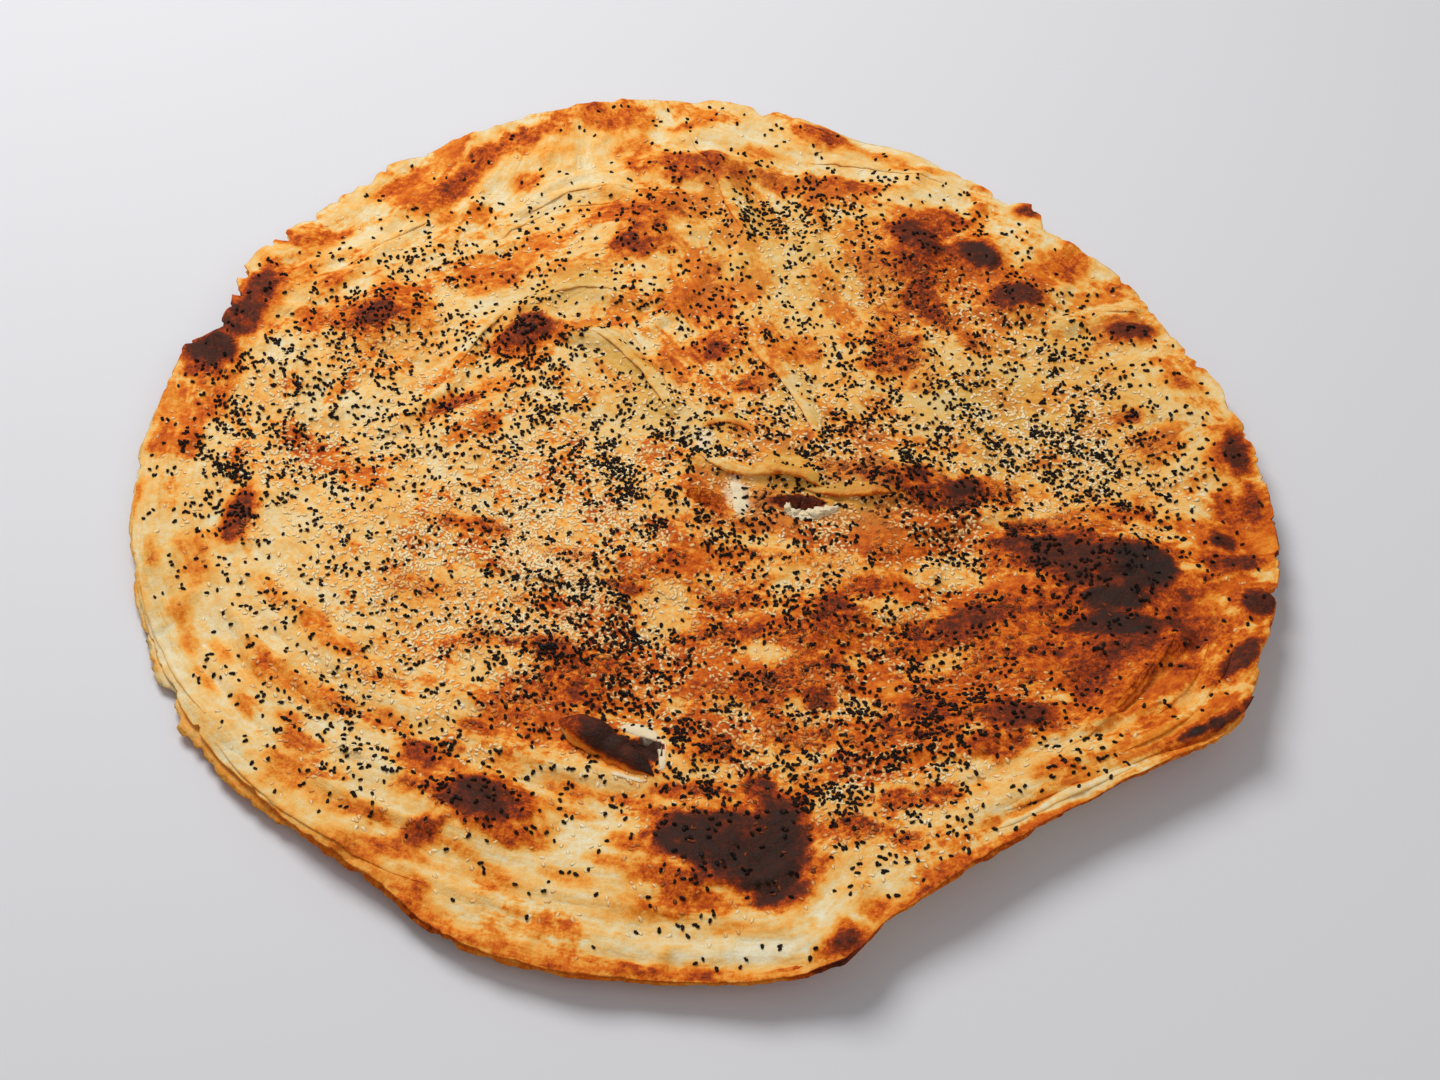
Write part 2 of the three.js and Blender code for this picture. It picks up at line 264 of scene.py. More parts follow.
def blisters_at(x, y):
    """A dome with a soft foot for each blister."""
    total = 0
    for cx, cy, half_length, half_width, turn, high in BLISTERS:
        q = inside_ellipse(x, y, cx, cy, half_length, half_width, turn)
        total = total + high * np.clip(1 - q * q, 0, None) ** 1.5
    return total


rim_x = rim_reach(round_trip) * np.cos(np.radians(round_trip))
rim_y = rim_reach(round_trip) * np.sin(np.radians(round_trip))
print("the rim lifts by up to", underside(rim_x, rim_y).max().round(1), "mm")

# %% [markdown]
# Each fold is a height, a half width and a path of a few points. The large ones follow the
# solid's paths, and the small ones are new. The path is first made into a smooth curve, and the
# ridge is steeper on one side, as folded dough is.

# %% Folds and ridges
FOLDS = [
    (2.2, 6, [(-140, 30), (-118, 60), (-108, 85), (-95, 105), (-60, 122), (-28, 112)]),
    (1.7, 6, [(-100, 172), (-75, 194), (-40, 199)]),
    (2.8, 6, [(-62, 90), (-40, 86), (-20, 62), (-10, 40)]),
    (2, 6, [(3, 245), (15, 215), (25, 165), (22, 140)]),
    (2.5, 6, [(35, 85), (55, 45), (58, 15)]),
    (3.4, 6, [(6, 5), (28, 0), (46, -4), (66, -10), (88, -18)]),
    (2.5, 6, [(100, -35), (130, -28), (165, -25)]),
    (2.4, 7, [(120, -195), (160, -172), (236, -143)]),
    (2.2, 6, [(170, -150), (190, -125), (222, -98)]),
    (2.5, 7, [(-240, -60), (-215, -120), (-175, -175), (-140, -205)]),
    (2, 6, [(-165, -95), (-135, -128), (-100, -140)]),
    (1.6, 6, [(-100, -150), (-50, -168), (-20, -172)]),
    (2.5, 6, [(180, 95), (215, 104)]),
]
SMALL_FOLDS = [
    (1.5, 4, [(-90, 183), (-70, 205), (-35, 212)]),
    (1.5, 4, [(180, -140), (200, -120), (215, -105)]),
    (1.2, 3.5, [(-190, -110), (-150, -150), (-105, -180)]),
    (1.5, 4, [(110, -180), (150, -160), (195, -143)]),
    (1.2, 3.5, [(-222, 60), (-236, 100), (-225, 132)]),
    (1.3, 3.5, [(-180, 120), (-150, 160), (-110, 190)]),
    (1.4, 3.5, [(60, 150), (66, 190), (60, 215)]),
    (1.2, 3.5, [(130, 90), (165, 80), (205, 60)]),
    (1.3, 4, [(-20, 95), (0, 120), (6, 150)]),
    (1.2, 3.5, [(-150, -20), (-100, -52), (-55, -66)]),
    (1.3, 3.5, [(60, -150), (110, -166), (150, -150)]),
    (1.3, 3.5, [(120, 215), (160, 190), (190, 165)]),
    (1.4, 4, [(-243, 20), (-247, -20), (-240, -60)]),
    (1.3, 4, [(-200, -90), (-178, -128), (-140, -160)]),
    (1.2, 4, [(-60, -246), (-10, -256), (40, -258)]),
    (1.2, 3, [(-236, -50), (-222, -88), (-200, -120), (-178, -146)]),
    (1.2, 3, [(-222, -40), (-206, -76), (-184, -106), (-160, -128)]),
    (1.2, 3, [(-168, -160), (-140, -182), (-105, -198)]),
    (1.1, 3, [(-200, -60), (-180, -92), (-150, -116)]),
    (1.1, 3, [(-92, -150), (-62, -163), (-40, -172)]),
    (1.1, 3, [(-116, -214), (-86, -229), (-50, -241)]),
    (1.0, 3, [(-70, -224), (-20, -236), (30, -244)]),
]
STEPS_A_SPAN = 6
STEEPER = 0.72


def smooth_path(points):
    """A smooth curve through the points, as an array with a few steps in each span."""
    p = np.array([points[0], *points, points[-1]], float)
    out = []
    for i in range(1, len(p) - 2):
        for t in np.linspace(0, 1, STEPS_A_SPAN, endpoint=False):
            a = p[i + 1] - p[i - 1]
            b = 2 * p[i - 1] - 5 * p[i] + 4 * p[i + 1] - p[i + 2]
            c = 3 * p[i] - p[i - 1] - 3 * p[i + 1] + p[i + 2]
            out.append(p[i] + 0.5 * (a * t + b * t * t + c * t**3))
    return np.array([*out, p[-1]])


def distance_to(path, x, y):
    """Distance from points to a path, and the side that they lie on: -1 right of it or 1 left."""
    least = np.full(np.shape(x), np.inf)
    side = np.zeros(np.shape(x))
    for (ax, ay), (bx, by) in zip(path[:-1], path[1:]):
        dx, dy = bx - ax, by - ay
        along = np.clip(((x - ax) * dx + (y - ay) * dy) / (dx * dx + dy * dy), 0, 1)
        apart = np.hypot(x - ax - along * dx, y - ay - along * dy)
        nearer = apart < least
        least = np.where(nearer, apart, least)
        side = np.where(nearer, np.sign(dx * (y - ay) - dy * (x - ax)), side)
    return least, side


def ridge_at(fold, x, y):
    """A ridge along the fold: its right side falls away faster than its left."""
    high, wide, points = fold
    apart, side = distance_to(smooth_path(points), x, y)
    width = np.where(side < 0, wide * STEEPER, wide)
    return high * np.exp(-((apart / width) ** 2))


print(len(FOLDS), "large folds and", len(SMALL_FOLDS), "small ones")

# %% [markdown]
# Wound dough pulls its fine wrinkles along one direction. Directions at a few places (x, y and
# degrees), blended by nearness, say which way the dough runs, and noise smeared along it gives
# the streaks. A grain painted by a texture alone could not turn with the swirl like this. A
# direction and its opposite mean the same here, so the angles are doubled before they are blended.

# %% The way the dough runs
DOUGH_RUNS = [
    (-160, 195, 62), (-125, 195, 65), (-195, 150, 45), (-170, 140, 30), (-120, 120, 25), (-80, 170, 28),
    (-45, 190, 8), (-45, 245, 110), (-75, 235, 80), (0, 212, 170), (18, 190, 108), (60, 212, 160),
    (62, 165, 95), (30, 130, 100), (-50, 115, 18), (85, 130, 105), (100, 208, 165), (140, 190, 142),
    (150, 150, 145), (190, 130, 130), (120, 130, 115), (160, 110, 150), (205, 95, 20), (-230, 50, 95),
    (-200, 50, 98), (-242, 0, 92), (-245, -40, 105), (-215, -60, 118), (-190, -60, 128), (-150, 40, 40),
    (-150, -20, 160), (-112, 46, 45), (-40, 0, 137), (-50, -70, 142), (0, -50, 165), (40, -60, 175),
    (-30, 70, 125), (40, 60, 115), (60, -15, 170), (150, 50, 160), (130, -35, 12), (172, -27, 175),
    (218, -48, 135), (240, 45, 120), (235, 10, 35), (240, -82, 28), (190, -112, 42), (-215, -110, 122),
    (-190, -150, 130), (-160, -130, 140), (-170, -180, 135), (-130, -200, 155), (-110, -225, 160),
    (-120, -140, 160), (-50, -130, 150), (-80, -150, 165), (-50, -180, 172), (-40, -225, 166),
    (20, -250, 178), (0, -170, 140), (65, -225, 55), (85, -200, 20), (20, -130, 175), (130, -180, 22),
    (185, -160, 22), (182, -130, 45), (212, -105, 55), (150, -105, 165), (120, -150, 10),
    (235, -112, 60),
]
RUN_REACH = 14
SMEAR_STEPS = range(-5, 6)
STREAK_GAIN = 2.2
WRINKLE_GAIN = 2.6


def dough_direction(x, y):
    """Unit vectors along the dough at each point."""
    total_c = 0
    total_s = 0
    for cx, cy, degrees in DOUGH_RUNS:
        weight = nearness(x, y, cx, cy, RUN_REACH)
        total_c = total_c + weight * math.cos(math.radians(2 * degrees))
        total_s = total_s + weight * math.sin(math.radians(2 * degrees))
    half = np.arctan2(total_s, total_c) / 2
    return np.cos(half), np.sin(half)


def streaks(x, y, cell, seed, stride):
    """Noise smeared along the dough: long thin ridges from about -1 to 1."""
    run_x, run_y = dough_direction(x, y)
    total = sum(noise(x + k * stride * run_x, y + k * stride * run_y, cell, seed) for k in SMEAR_STEPS)
    return total / len(SMEAR_STEPS) * STREAK_GAIN


def wrinkles(x, y, cell, seed, stride):
    """Sharp-backed ridges along the dough, from about -1 in the valleys to 1 on the backs."""
    return 1 - WRINKLE_GAIN * np.abs(streaks(x, y, cell, seed, stride))


run_x, run_y = dough_direction(np.zeros(1), np.zeros(1))
print("in the middle the dough runs at", math.degrees(math.atan2(run_y[0], run_x[0])) // 1, "degrees")

# %% [markdown]
# Steam tore the top layer open in the middle, and a long tube of a blister burst near the front.
# Each tear is a pit with a ragged edge: an ellipse and the height of its floor. Points of the mesh
# that come near the edge are moved onto it, so that the edge stays sharp although the mesh itself
# is regular.

# %% Tears
OPENINGS = [
    (8, -19, 10, 5.6, -32, 3),
    (50, -21, 11, 5, -5, 3),
    (-17.5, -156, 7.5, 5.5, -25, 4.6),
]
SNAP = 0.9
TEAR_WAVES = [(0.1, 5, 0), (0.07, 11, 40)]


def tear_distance(opening, x, y):
    """0 in the middle of a tear and 1 on its ragged edge."""
    cx, cy, half_length, half_width, turn, floor_height = opening
    q = inside_ellipse(x, y, cx, cy, half_length, half_width, turn)
    around = np.degrees(np.arctan2(y - cy, x - cx))
    ragged = 1
    for size, times, shift in TEAR_WAVES:
        ragged = ragged + size * np.sin(np.radians(times * around + shift))
    return q / ragged


def snap_to_tears(x, y):
    """Moves points that lie within SNAP of a tear's edge onto the edge."""
    for opening in OPENINGS:
        cx, cy, half_length, half_width, turn, floor_height = opening
        q = tear_distance(opening, x, y)
        near = np.abs(q - 1) * half_width < SNAP
        scale = np.where(near, 1 / np.maximum(q, 0.2), 1)
        x = cx + (x - cx) * scale
        y = cy + (y - cy) * scale
    return x, y


print(len(OPENINGS), "tears, their floors at", [opening[5] for opening in OPENINGS], "mm")

# %% [markdown]
# The height of the crust adds all of this up, with finer puckers and small bubbles that the
# plain solid leaves out. A crease runs along the foot of each fold's steeper side. It lies a
# little further out than the fold is wide, and its depth is a share of the fold's height.

# %% Height of the crust
CREASE_SHARE = 0.35
CREASE_WIDE = 1.6
CREASE_OUT = 1.25
BUBBLE_HIGH = 2.4
BUBBLE_FROM = 0.45
TEAR_EDGE = 0.97


def crease_at(fold, x, y):
    """The valley at the foot of a fold's steeper side: 1 on its line, 0 a few millimetres away."""
    high, wide, points = fold
    apart, side = distance_to(smooth_path(points), x, y)
    return np.where(side < 0, np.exp(-(((apart - CREASE_OUT * wide) / CREASE_WIDE) ** 2)), 0)


def fine_relief(x, y):
    """Puckers, bubbles and wrinkles, in millimetres. Wrinkles are strongest towards the rim."""
    towards_rim = smoothstep(120, 240, np.hypot(x, y))
    relief = 0.6 * rough(x, y, cell=24, seed=11) + 0.32 * rough(x, y, cell=8, seed=21)
    relief = relief + (0.45 + 0.45 * towards_rim) * wrinkles(x, y, cell=11, seed=31, stride=7)
    relief = relief + 0.28 * wrinkles(x, y, cell=5.5, seed=41, stride=4)
    bubbles = rough(x, y, cell=13, seed=51, octaves=2)
    return relief + BUBBLE_HIGH * np.clip(bubbles - BUBBLE_FROM, 0, None)


def rim_share(x, y):
    """How far out a point lies: 0 in the middle of the bread and 1 on its rim."""
    return np.hypot(x, y) / rim_reach(np.degrees(np.arctan2(y, x)))


def top_height(x, y):
    """Height of the crust above the flat middle of the underside."""
    share = rim_share(x, y)
    z = underside(x, y) + plain_thickness(share) + waves_at(x, y) + blisters_at(x, y)
    for fold in FOLDS + SMALL_FOLDS:
        z = z + ridge_at(fold, x, y) - CREASE_SHARE * fold[0] * crease_at(fold, x, y)
    z = z + fine_relief(x, y)
    for opening in OPENINGS:
        pit = opening[5] + 0.6 * noise(x, y, cell=5, seed=61)
        torn = tear_distance(opening, x, y) < TEAR_EDGE
        z = np.where(torn, np.minimum(z, pit), z)
    return z


blister_heights = top_height(*np.array([blister[:2] for blister in BLISTERS], float).T)
print("the blisters reach", blister_heights.min().round(1), "to",
      blister_heights.max().round(1), "mm high")

# %% [markdown]
# Browning follows heat: the highest blisters char, spots round them turn orange, and the dough
# between stays cream. One number, toast, from 0 for raw cream to 1 for char, is worked out for
# every point, and a colour ramp in the material turns it into colours. That keeps the map of the
# crust apart from its paints. The places in the lists were read off the photo. How brown each
# one is was set, and then corrected until the mean lightness of each area of the render came near
# the photo's. TONES says how browned each area is on the whole (x, y and a share), BROWNED and
# CHARRED hold ellipses with the toast in their middle, PALE holds ellipses that stayed cream, and
# OIL_AND_SHADE_HEAPS holds heaps of oiled crust, some of them also painted olive shade beside a ridge.

# %% How far the crust is toasted
TONES = [
    (-240, 60, 0.46), (-250, -30, 0.3), (-215, 40, 0.55), (-215, 10, 0.4), (-200, -60, 0.12),
    (-135, -50, 0.2), (-170, -140, 0.3), (-150, -116, 0.25), (-126, -148, 0.3), (-225, -120, 0.25),
    (-215, -75, 0.25), (-120, -180, 0.5), (-150, -210, 0.35), (-90, -232, 0.36), (-50, -210, 0.0),
    (-50, -176, 0.5), (-20, -228, 0.3), (0, -252, 0.2), (60, -245, 0.2), (66, -200, 0.6),
    (110, -205, 0.32), (150, -176, 0.2), (200, -158, 0.3), (235, -146, 0.2), (175, -180, 0.1),
    (240, -60, 0.75), (240, 24, 0.3), (140, -88, 0.9), (120, -122, 0.65), (205, -128, 0.95),
    (60, -90, 0.85), (15, -118, 0.9), (0, -60, 0.9), (25, -76, 0.95), (48, -50, 0.9), (75, -125, 0.9),
    (150, -122, 0.8), (60, -150, 0.75), (190, -130, 0.6), (175, -150, 0.4), (-90, -70, 0.15),
    (60, 16, 0.6), (50, 102, 0.55), (50, 76, 0.6), (-100, 126, 0.6), (-25, 150, 0.7), (-125, 128, 0.15),
    (-125, 152, 0.1), (-12, 150, 0.5), (0, 176, 0.5), (0, 246, 0.35), (-176, 126, 0.7), (-80, 152, 0.5),
    (-100, 176, 0.5), (-60, -110, 0.5), (-130, -100, 0.5), (-60, -40, 0.2), (-36, -62, 0.45),
    (0, 50, 0.35), (165, 78, 0.5), (160, 100, 0.75), (95, -102, 0.9), (80, -4, 0.85), (102, -28, 1),
    (-100, 0, 0.3), (-52, 4, 0.3), (-150, 50, 0.15), (-175, 10, 0.25), (-152, 0, 0.1), (-86, 76, 0.8),
    (-28, 72, 0.65), (-50, 50, 0.45), (-160, 120, 0.6), (-200, 90, 0.7), (-176, 74, 0.5),
    (-110, 150, 0.34), (-60, 190, 0.1), (-110, 215, 0.35), (-30, 250, 0.3), (-52, 128, 0.55),
    (30, 240, 0.05), (80, 215, 0.55), (52, 226, 0.35), (100, 226, 0.4), (34, 172, 0.2),
    (100, 130, 0.85), (130, 190, 0.3), (185, 132, 0.25), (225, 70, 0.5), (160, 60, 0.32), (112, 6, 0.4),
    (60, 60, 0.4), (20, 18, 0.5), (-32, 24, 0.35), (0, 2, 0.65), (-30, 90, 0.3), (0, 200, 0.5),
    (190, 0, 0.35), (170, -30, 0.8), (60, -40, 0.6), (124, -55, 0.4), (220, 20, 0.5),
    (-100, -200, 0.45), (150, 25, 0.2), (125, 26, 0.05), (125, 52, 0.1), (-75, 52, 0.15),
    (-230, -10, 0.4), (-90, 70, 0.3), (10, 100, 0.5),
]
TONE_REACH = 12


def tone_at(x, y):
    """How much of the crust round a point is browned, as a share from 0 to 1."""
    total = 0
    weights = 0
    for cx, cy, tone in TONES:
        weight = nearness(x, y, cx, cy, TONE_REACH)
        total = total + weight * tone
        weights = weights + weight
    return total / weights


BROWNED = [
    (-45, 258, 25, 13, -15, 0.5), (-70, 250, 10, 14, 0, 0.4), (-96, 238, 20, 12, 30, 0.55),
    (-80, 232, 20, 7, 0, 0.35), (-122, 208, 30, 11, 55, 0.6), (-138, 185, 14, 9, 45, 0.43),
    (-157, 203, 18, 7, 50, 0.42), (-195, 160, 20, 9, 25, 0.5), (-88, 207, 10, 9, 0, 0.5),
    (-128, 178, 8, 7, 0, 0.45), (-33, 237, 8, 6, 0, 0.4), (0, 215, 38, 13, -5, 0.62),
    (-27, 180, 28, 12, -10, 0.55), (-24, 154, 19, 13, 0, 0.64), (-102, 130, 18, 9, 20, 0.42),
    (70, 240, 22, 8, -30, 0.62), (35, 228, 20, 4, -15, 0.4), (42, 208, 12, 8, -20, 0.55),
    (80, 203, 25, 6, -10, 0.6), (115, 213, 20, 3, -15, 0.4), (100, 224, 12, 4, -25, 0.42),
    (150, -176, 14, 6, 15, 0.46), (65, 193, 6, 5, 0, 0.5), (112, 140, 24, 24, 90, 0.66),
    (120, 110, 20, 8, -65, 0.7), (135, 90, 10, 6, -50, 0.55), (190, 140, 15, 11, -60, 0.55),
    (213, 122, 8, 6, 0, 0.5), (100, 80, 26, 18, -50, 0.6), (12, 80, 14, 9, 0, 0.65),
    (25, 55, 10, 7, -40, 0.6), (13, 116, 20, 9, 80, 0.4), (11, 138, 9, 7, 60, 0.52),
    (-9, 112, 14, 9, 0, 0.45), (52, 78, 13, 10, 0, 0.46), (126, 171, 15, 9, -40, 0.66),
    (38, 31, 5, 5, 0, 0.42), (17, 26, 12, 4, -15, 0.5), (34, -18, 9, 5, -75, 0.56),
    (237, 52, 12, 5, -20, 0.5), (207, 33, 7, 6, 0, 0.6), (215, 8, 14, 14, 0, 0.45),
    (92, -5, 28, 8, -10, 0.6), (120, -14, 27, 12, 0, 0.78), (140, -12, 20, 8, -20, 0.56),
    (-224, -52, 17, 8, -70, 0.46), (-242, -52, 13, 5, -75, 0.46), (-150, -104, 15, 6, -30, 0.46),
    (-178, -118, 30, 8, -35, 0.37), (-154, -130, 18, 7, -30, 0.42), (-165, -90, 20, 7, -60, 0.4),
    (-118, -68, 22, 9, -10, 0.38), (-100, -33, 20, 7, -10, 0.5), (-94, -98, 15, 6, 0, 0.42),
    (-50, -107, 26, 8, -15, 0.6), (-50, -125, 20, 9, -20, 0.6), (-29, -68, 14, 5, -15, 0.66),
    (-6, -53, 12, 5, 0, 0.56), (-90, -145, 12, 8, 0, 0.54), (-75, -135, 15, 6, -10, 0.5),
    (-107, -200, 9, 8, 0, 0.65), (-163, -153, 11, 6, -30, 0.52), (-165, -170, 15, 8, -50, 0.44),
    (-120, -206, 24, 6, -25, 0.46), (-110, -226, 8, 5, 0, 0.45), (-65, -183, 15, 5, 0, 0.45),
    (-10, -235, 25, 8, 0, 0.45), (75, -240, 8, 6, 0, 0.5), (90, -208, 7, 5, 0, 0.6),
    (95, -186, 22, 6, 5, 0.6), (55, -130, 8, 7, 0, 0.76), (35, -125, 15, 11, 0, 0.6),
    (10, -158, 12, 8, 0, 0.6), (65, -85, 18, 11, 0, 0.66), (24, -93, 26, 8, 0, 0.6),
    (85, -68, 14, 7, 0, 0.55), (130, -162, 15, 8, 0, 0.6), (100, -140, 22, 13, 0, 0.65),
    (150, -104, 28, 14, 0, 0.55), (210, -122, 10, 6, 0, 0.7), (218, -105, 8, 8, 0, 0.7),
    (245, -62, 10, 5, 0, 0.76), (-186, 24, 14, 5, -30, 0.3), (-160, 4, 12, 5, -20, 0.34),
    (-98, 30, 6, 8, 0, 0.45), (-95, 58, 14, 8, 20, 0.42), (-122, 40, 21, 7, 34, 0.52),
    (-112, 47, 13, 7, 32, 0.66), (-158, 100, 34, 18, 15, 0.46), (-198, 132, 18, 9, 60, 0.42),
    (-8, 65, 18, 5, -60, 0.52), (150, -35, 13, 6, 0, 0.76), (245, -26, 14, 6, 100, 0.56),
    (238, -62, 12, 6, 0, 0.7), (185, -112, 28, 8, 30, 0.72), (-219, 105, 30, 11, 78, 0.6),
    (-235, 72, 16, 14, 0, 0.66), (182, -59, 42, 20, -15, 0.66), (-6, -224, 24, 9, -25, 0.56),
    (-24, -206, 9, 8, -20, 0.5), (-80, -195, 21, 9, -15, 0.58), (30, -180, 12, 8, 0, 0.6),
    (216, -156, 25, 3.4, 25, 0.86), (236, -144, 7, 2.6, 42, 0.84), (222, -128, 16, 6, 40, 0.42),
    (190, -125, 30, 11, 45, 0.52), (166, -146, 24, 8, 35, 0.44), (205, -110, 14, 8, 50, 0.56),
    (22, -33, 28, 4, -5, 0.45), (200, -27, 24, 10, -10, 0.53), (221, -101, 17, 11, 45, 0.62),
    (184, -103, 24, 9, 0, 0.68), (50, -150, 18, 8, 0, 0.5), (76, -152, 16, 6, 0, 0.5),
    (30, -176, 7, 6, 0, 0.72), (-178, 125, 14, 8, 40, 0.4), (196, -150, 16, 4, 30, 0.44),
    (-73, -202, 14, 6, -15, 0.58), (0, -178, 15, 6, 0, 0.6), (-184, -109, 12, 6, -50, 0.48),
    (-189, -135, 8, 4, -50, 0.42), (-108, -222, 9, 4, -20, 0.46), (-219, -98, 10, 4, -60, 0.4),
    (-137, -189, 7, 5, 0, 0.42), (-135, -207, 12, 4, -30, 0.44), (-256, -20, 14, 3, 85, 0.42),
    (-251, 18, 10, 6, 80, 0.42), (-226, 48, 18, 7, 85, 0.48), (-225, -85, 10, 4, -60, 0.42),
    (-186, -73, 12, 5, -50, 0.38), (-4, 249, 15, 5, 8, 0.46), (-88, 79, 14, 7, -30, 0.44),
    (50, -176, 12, 6, 0, 0.42), (-50, -176, 15, 5, -15, 0.46), (68, -200, 14, 8, 0, 0.58),
    (102, -153, 12, 6, 0, 0.56), (22, -50, 16, 6, 0, 0.46), (-50, -52, 14, 5, -20, 0.42),
    (248, 3, 16, 9, 85, 0.6), (212, -84, 16, 11, 70, 0.68), (172, -82, 34, 15, 0, 0.66),
    (60, -112, 20, 8, 0, 0.55), (102, -98, 24, 9, 12, 0.62), (139, -142, 17, 9, 0, 0.66),
    (18, -76, 20, 6, 0, 0.56), (-76, -221, 14, 5, -20, 0.42), (-48, -221, 12, 4, -20, 0.36),
    (-32, -214, 10, 4, -25, 0.44), (-52, -243, 10, 4, -20, 0.42), (-92, -208, 12, 4, -30, 0.4),
    (20, -246, 16, 3, 5, 0.34), (-50, -188, 16, 3, -15, 0.4), (-28, -182, 12, 4, -20, 0.46),
    (-10, -190, 8, 4, -10, 0.4), (-234, -112, 9, 3, -60, 0.38), (-204, -104, 10, 4, -55, 0.38),
    (-134, -119, 14, 4, -12, 0.42), (-126, -141, 11, 5, -25, 0.45), (-132, -190, 18, 7, -20, 0.44),
    (-118, -177, 7, 5, 0, 0.46), (-24, 73, 10, 5, -50, 0.44), (-208, -120, 12, 3, -55, 0.38),
    (-170, -140, 7, 4, -40, 0.44), (-148, -186, 12, 4, -40, 0.4),
]
PALE = [
    (-52, -208, 34, 14, -8), (5, 18, 9, 4, 80), (26, 238, 20, 13, -8), (-103, 207, 16, 15, 60),
    (-152, 44, 22, 10, 20), (-150, 24, 14, 6, 20), (-193, -68, 40, 7, 127), (-228, -105, 28, 5, 118),
    (-162, 163, 28, 6, 25), (116, 190, 24, 8, -25), (120, 210, 22, 6, -22), (-136, -165, 14, 7, -35),
    (-130, -110, 26, 3, -15), (-128, -130, 28, 3, -28), (-140, -180, 24, 3, -15),
    (-134, -199, 22, 3, -12), (-172, -104, 22, 3, -30), (-176, -148, 16, 3, -50),
    (-196, 76, 14, 10, 60), (-212, -78, 18, 6, 118), (-66, 104, 12, 6, 30), (-115, -146, 12, 4, -30),
    (231, -66, 10, 7, 0), (70, -243, 18, 6, 45), (-52, 80, 14, 10, 20), (-108, 113, 26, 8, 30),
    (-36, 28, 14, 9, -40), (-60, 205, 34, 6, 10), (-178, -105, 26, 5, 135), (150, -192, 40, 3, 29),
    (0, -255, 40, 5, 0), (-130, -170, 14, 6, 150), (55, -185, 12, 6, 20), (-200, -128, 26, 5, 128),
]
CHARRED = [
    (-216, 112, 20, 7.5, 78, 0.82), (-222, 94, 14, 9, 80, 0.87), (-233, 76, 14, 9, 0, 0.9),
    (-157, 100, 14, 8, 30, 0.8), (-82, 93, 17, 9.5, 32, 0.8), (-207, -30, 15, 5.5, 80, 0.76),
    (175, 177, 8, 5, 0, 0.76), (115, 160, 18, 10, -40, 0.84), (145, 146, 14, 7, -50, 0.92),
    (162, 116, 14, 9, 0, 0.86), (213, 91, 12, 6, -10, 0.84), (253, 5, 15, 6.5, 84, 0.86),
    (-111, -160, 9, 5, -50, 0.74), (-84, -184, 21, 11, -15, 0.88), (-34, -154, 22, 6.5, -32, 0.97),
    (5, -205, 24, 14, -15, 0.94), (37, -209, 26, 15, 84, 0.95), (13, -212, 26, 13, -28, 0.95),
    (20, -201, 15, 10, 0, 0.93), (62, -257, 7, 5, 40, 0.82), (125, -90, 20, 10, 20, 0.8),
    (138, -147, 14, 9, 0, 0.82), (182, -59, 37, 16, -18, 0.87), (203, -61, 15, 12, -20, 1),
    (188, -80, 15, 7, 0, 0.98), (152, -45, 18, 6, -8, 0.86), (185, -95, 22, 8, -3, 0.95),
    (185, -112, 24, 6, 30, 0.76), (172, -127, 14, 6, 60, 0.74), (240, -47, 8, 6, -45, 0.86),
    (248, -87, 9, 7, 20, 0.87), (236, -118, 14, 6, 45, 0.86), (256, -27, 12, 4, 90, 0.76),
    (-24, -161, 11, 5, -30, 0.95),
]
# Heaps of oiled, translucent crust. Those along the ridge from (-46, 84) to (-13, 40) also paint olive
# shade on its lower side.
OIL_AND_SHADE_HEAPS = [
    (50, 150, 50, 0.65), (170, 60, 50, 0.6), (120, 40, 40, 0.55), (40, -3, 26, 1), (-22, 58, 11, 1.2),
    (-13, 40, 9, 1.2), (-35, 70, 10, 0.9), (-46, 84, 11, 0.9), (-40, 45, 22, 0.6), (-30, 15, 18, 0.4),
    (-50, 125, 14, 0.6), (-60, 122, 16, 0.9), (-85, 112, 14, 0.6), (75, -15, 20, 1), (44, 55, 10, 0.9),
    (54, 35, 9, 1), (14, 27, 12, 1), (20, 190, 26, 0.4), (-150, -190, 40, 0.2), (-240, -60, 26, 0.4),
    (190, 20, 40, 0.35),
]
PLAIN_TOAST = 0.1
RIM_TOAST = 0.3
CLOUD_TOAST = 0.2
CREAM_STREAK = 0.06
PALE_TOAST = 0.08
HALO_TOAST = 0.6
HALO_GROWS = 1.05
HALO_WIDE = 3.5
# In the creases the olive tint is partly oiled crust and partly painted shade.
CREASE_OIL_AND_SHADE = 0.3


def spots_over(toast, spots, x, y, ragged, core, fade):
    """Lays browned spots over the toast so far: full out to the core, gone at the fade."""
    for cx, cy, half_length, half_width, turn, depth in spots:
        q = inside_ellipse(x, y, cx, cy, half_length, half_width, turn) + ragged
        share = 1 - smoothstep(core, fade, q)
        toast = np.maximum(toast, toast + (depth - toast) * share)
    return toast


def pale_at(x, y, ragged):
    """1 in the milky cream areas, 0 elsewhere."""
    share = 0
    for cx, cy, half_length, half_width, turn in PALE:
        q = inside_ellipse(x, y, cx, cy, half_length, half_width, turn) + 1.2 * ragged
        share = np.maximum(share, 1 - smoothstep(0.5, 1.4, q))
    return share


def patches(x, y, run, cloud, dust=None):
    """Blotches drawn out along the dough: streaks, clouds and, where it is given, fine dust.

    Each of the three is a strength, a cell and a seed, and the streaks have a stride too.
    """
    total = run[0] * streaks(x, y, *run[1:]) + cloud[0] * rough(x, y, *cloud[1:])
    if dust:
        total = total + dust[0] * rough(x, y, *dust[1:], octaves=2)
    return total


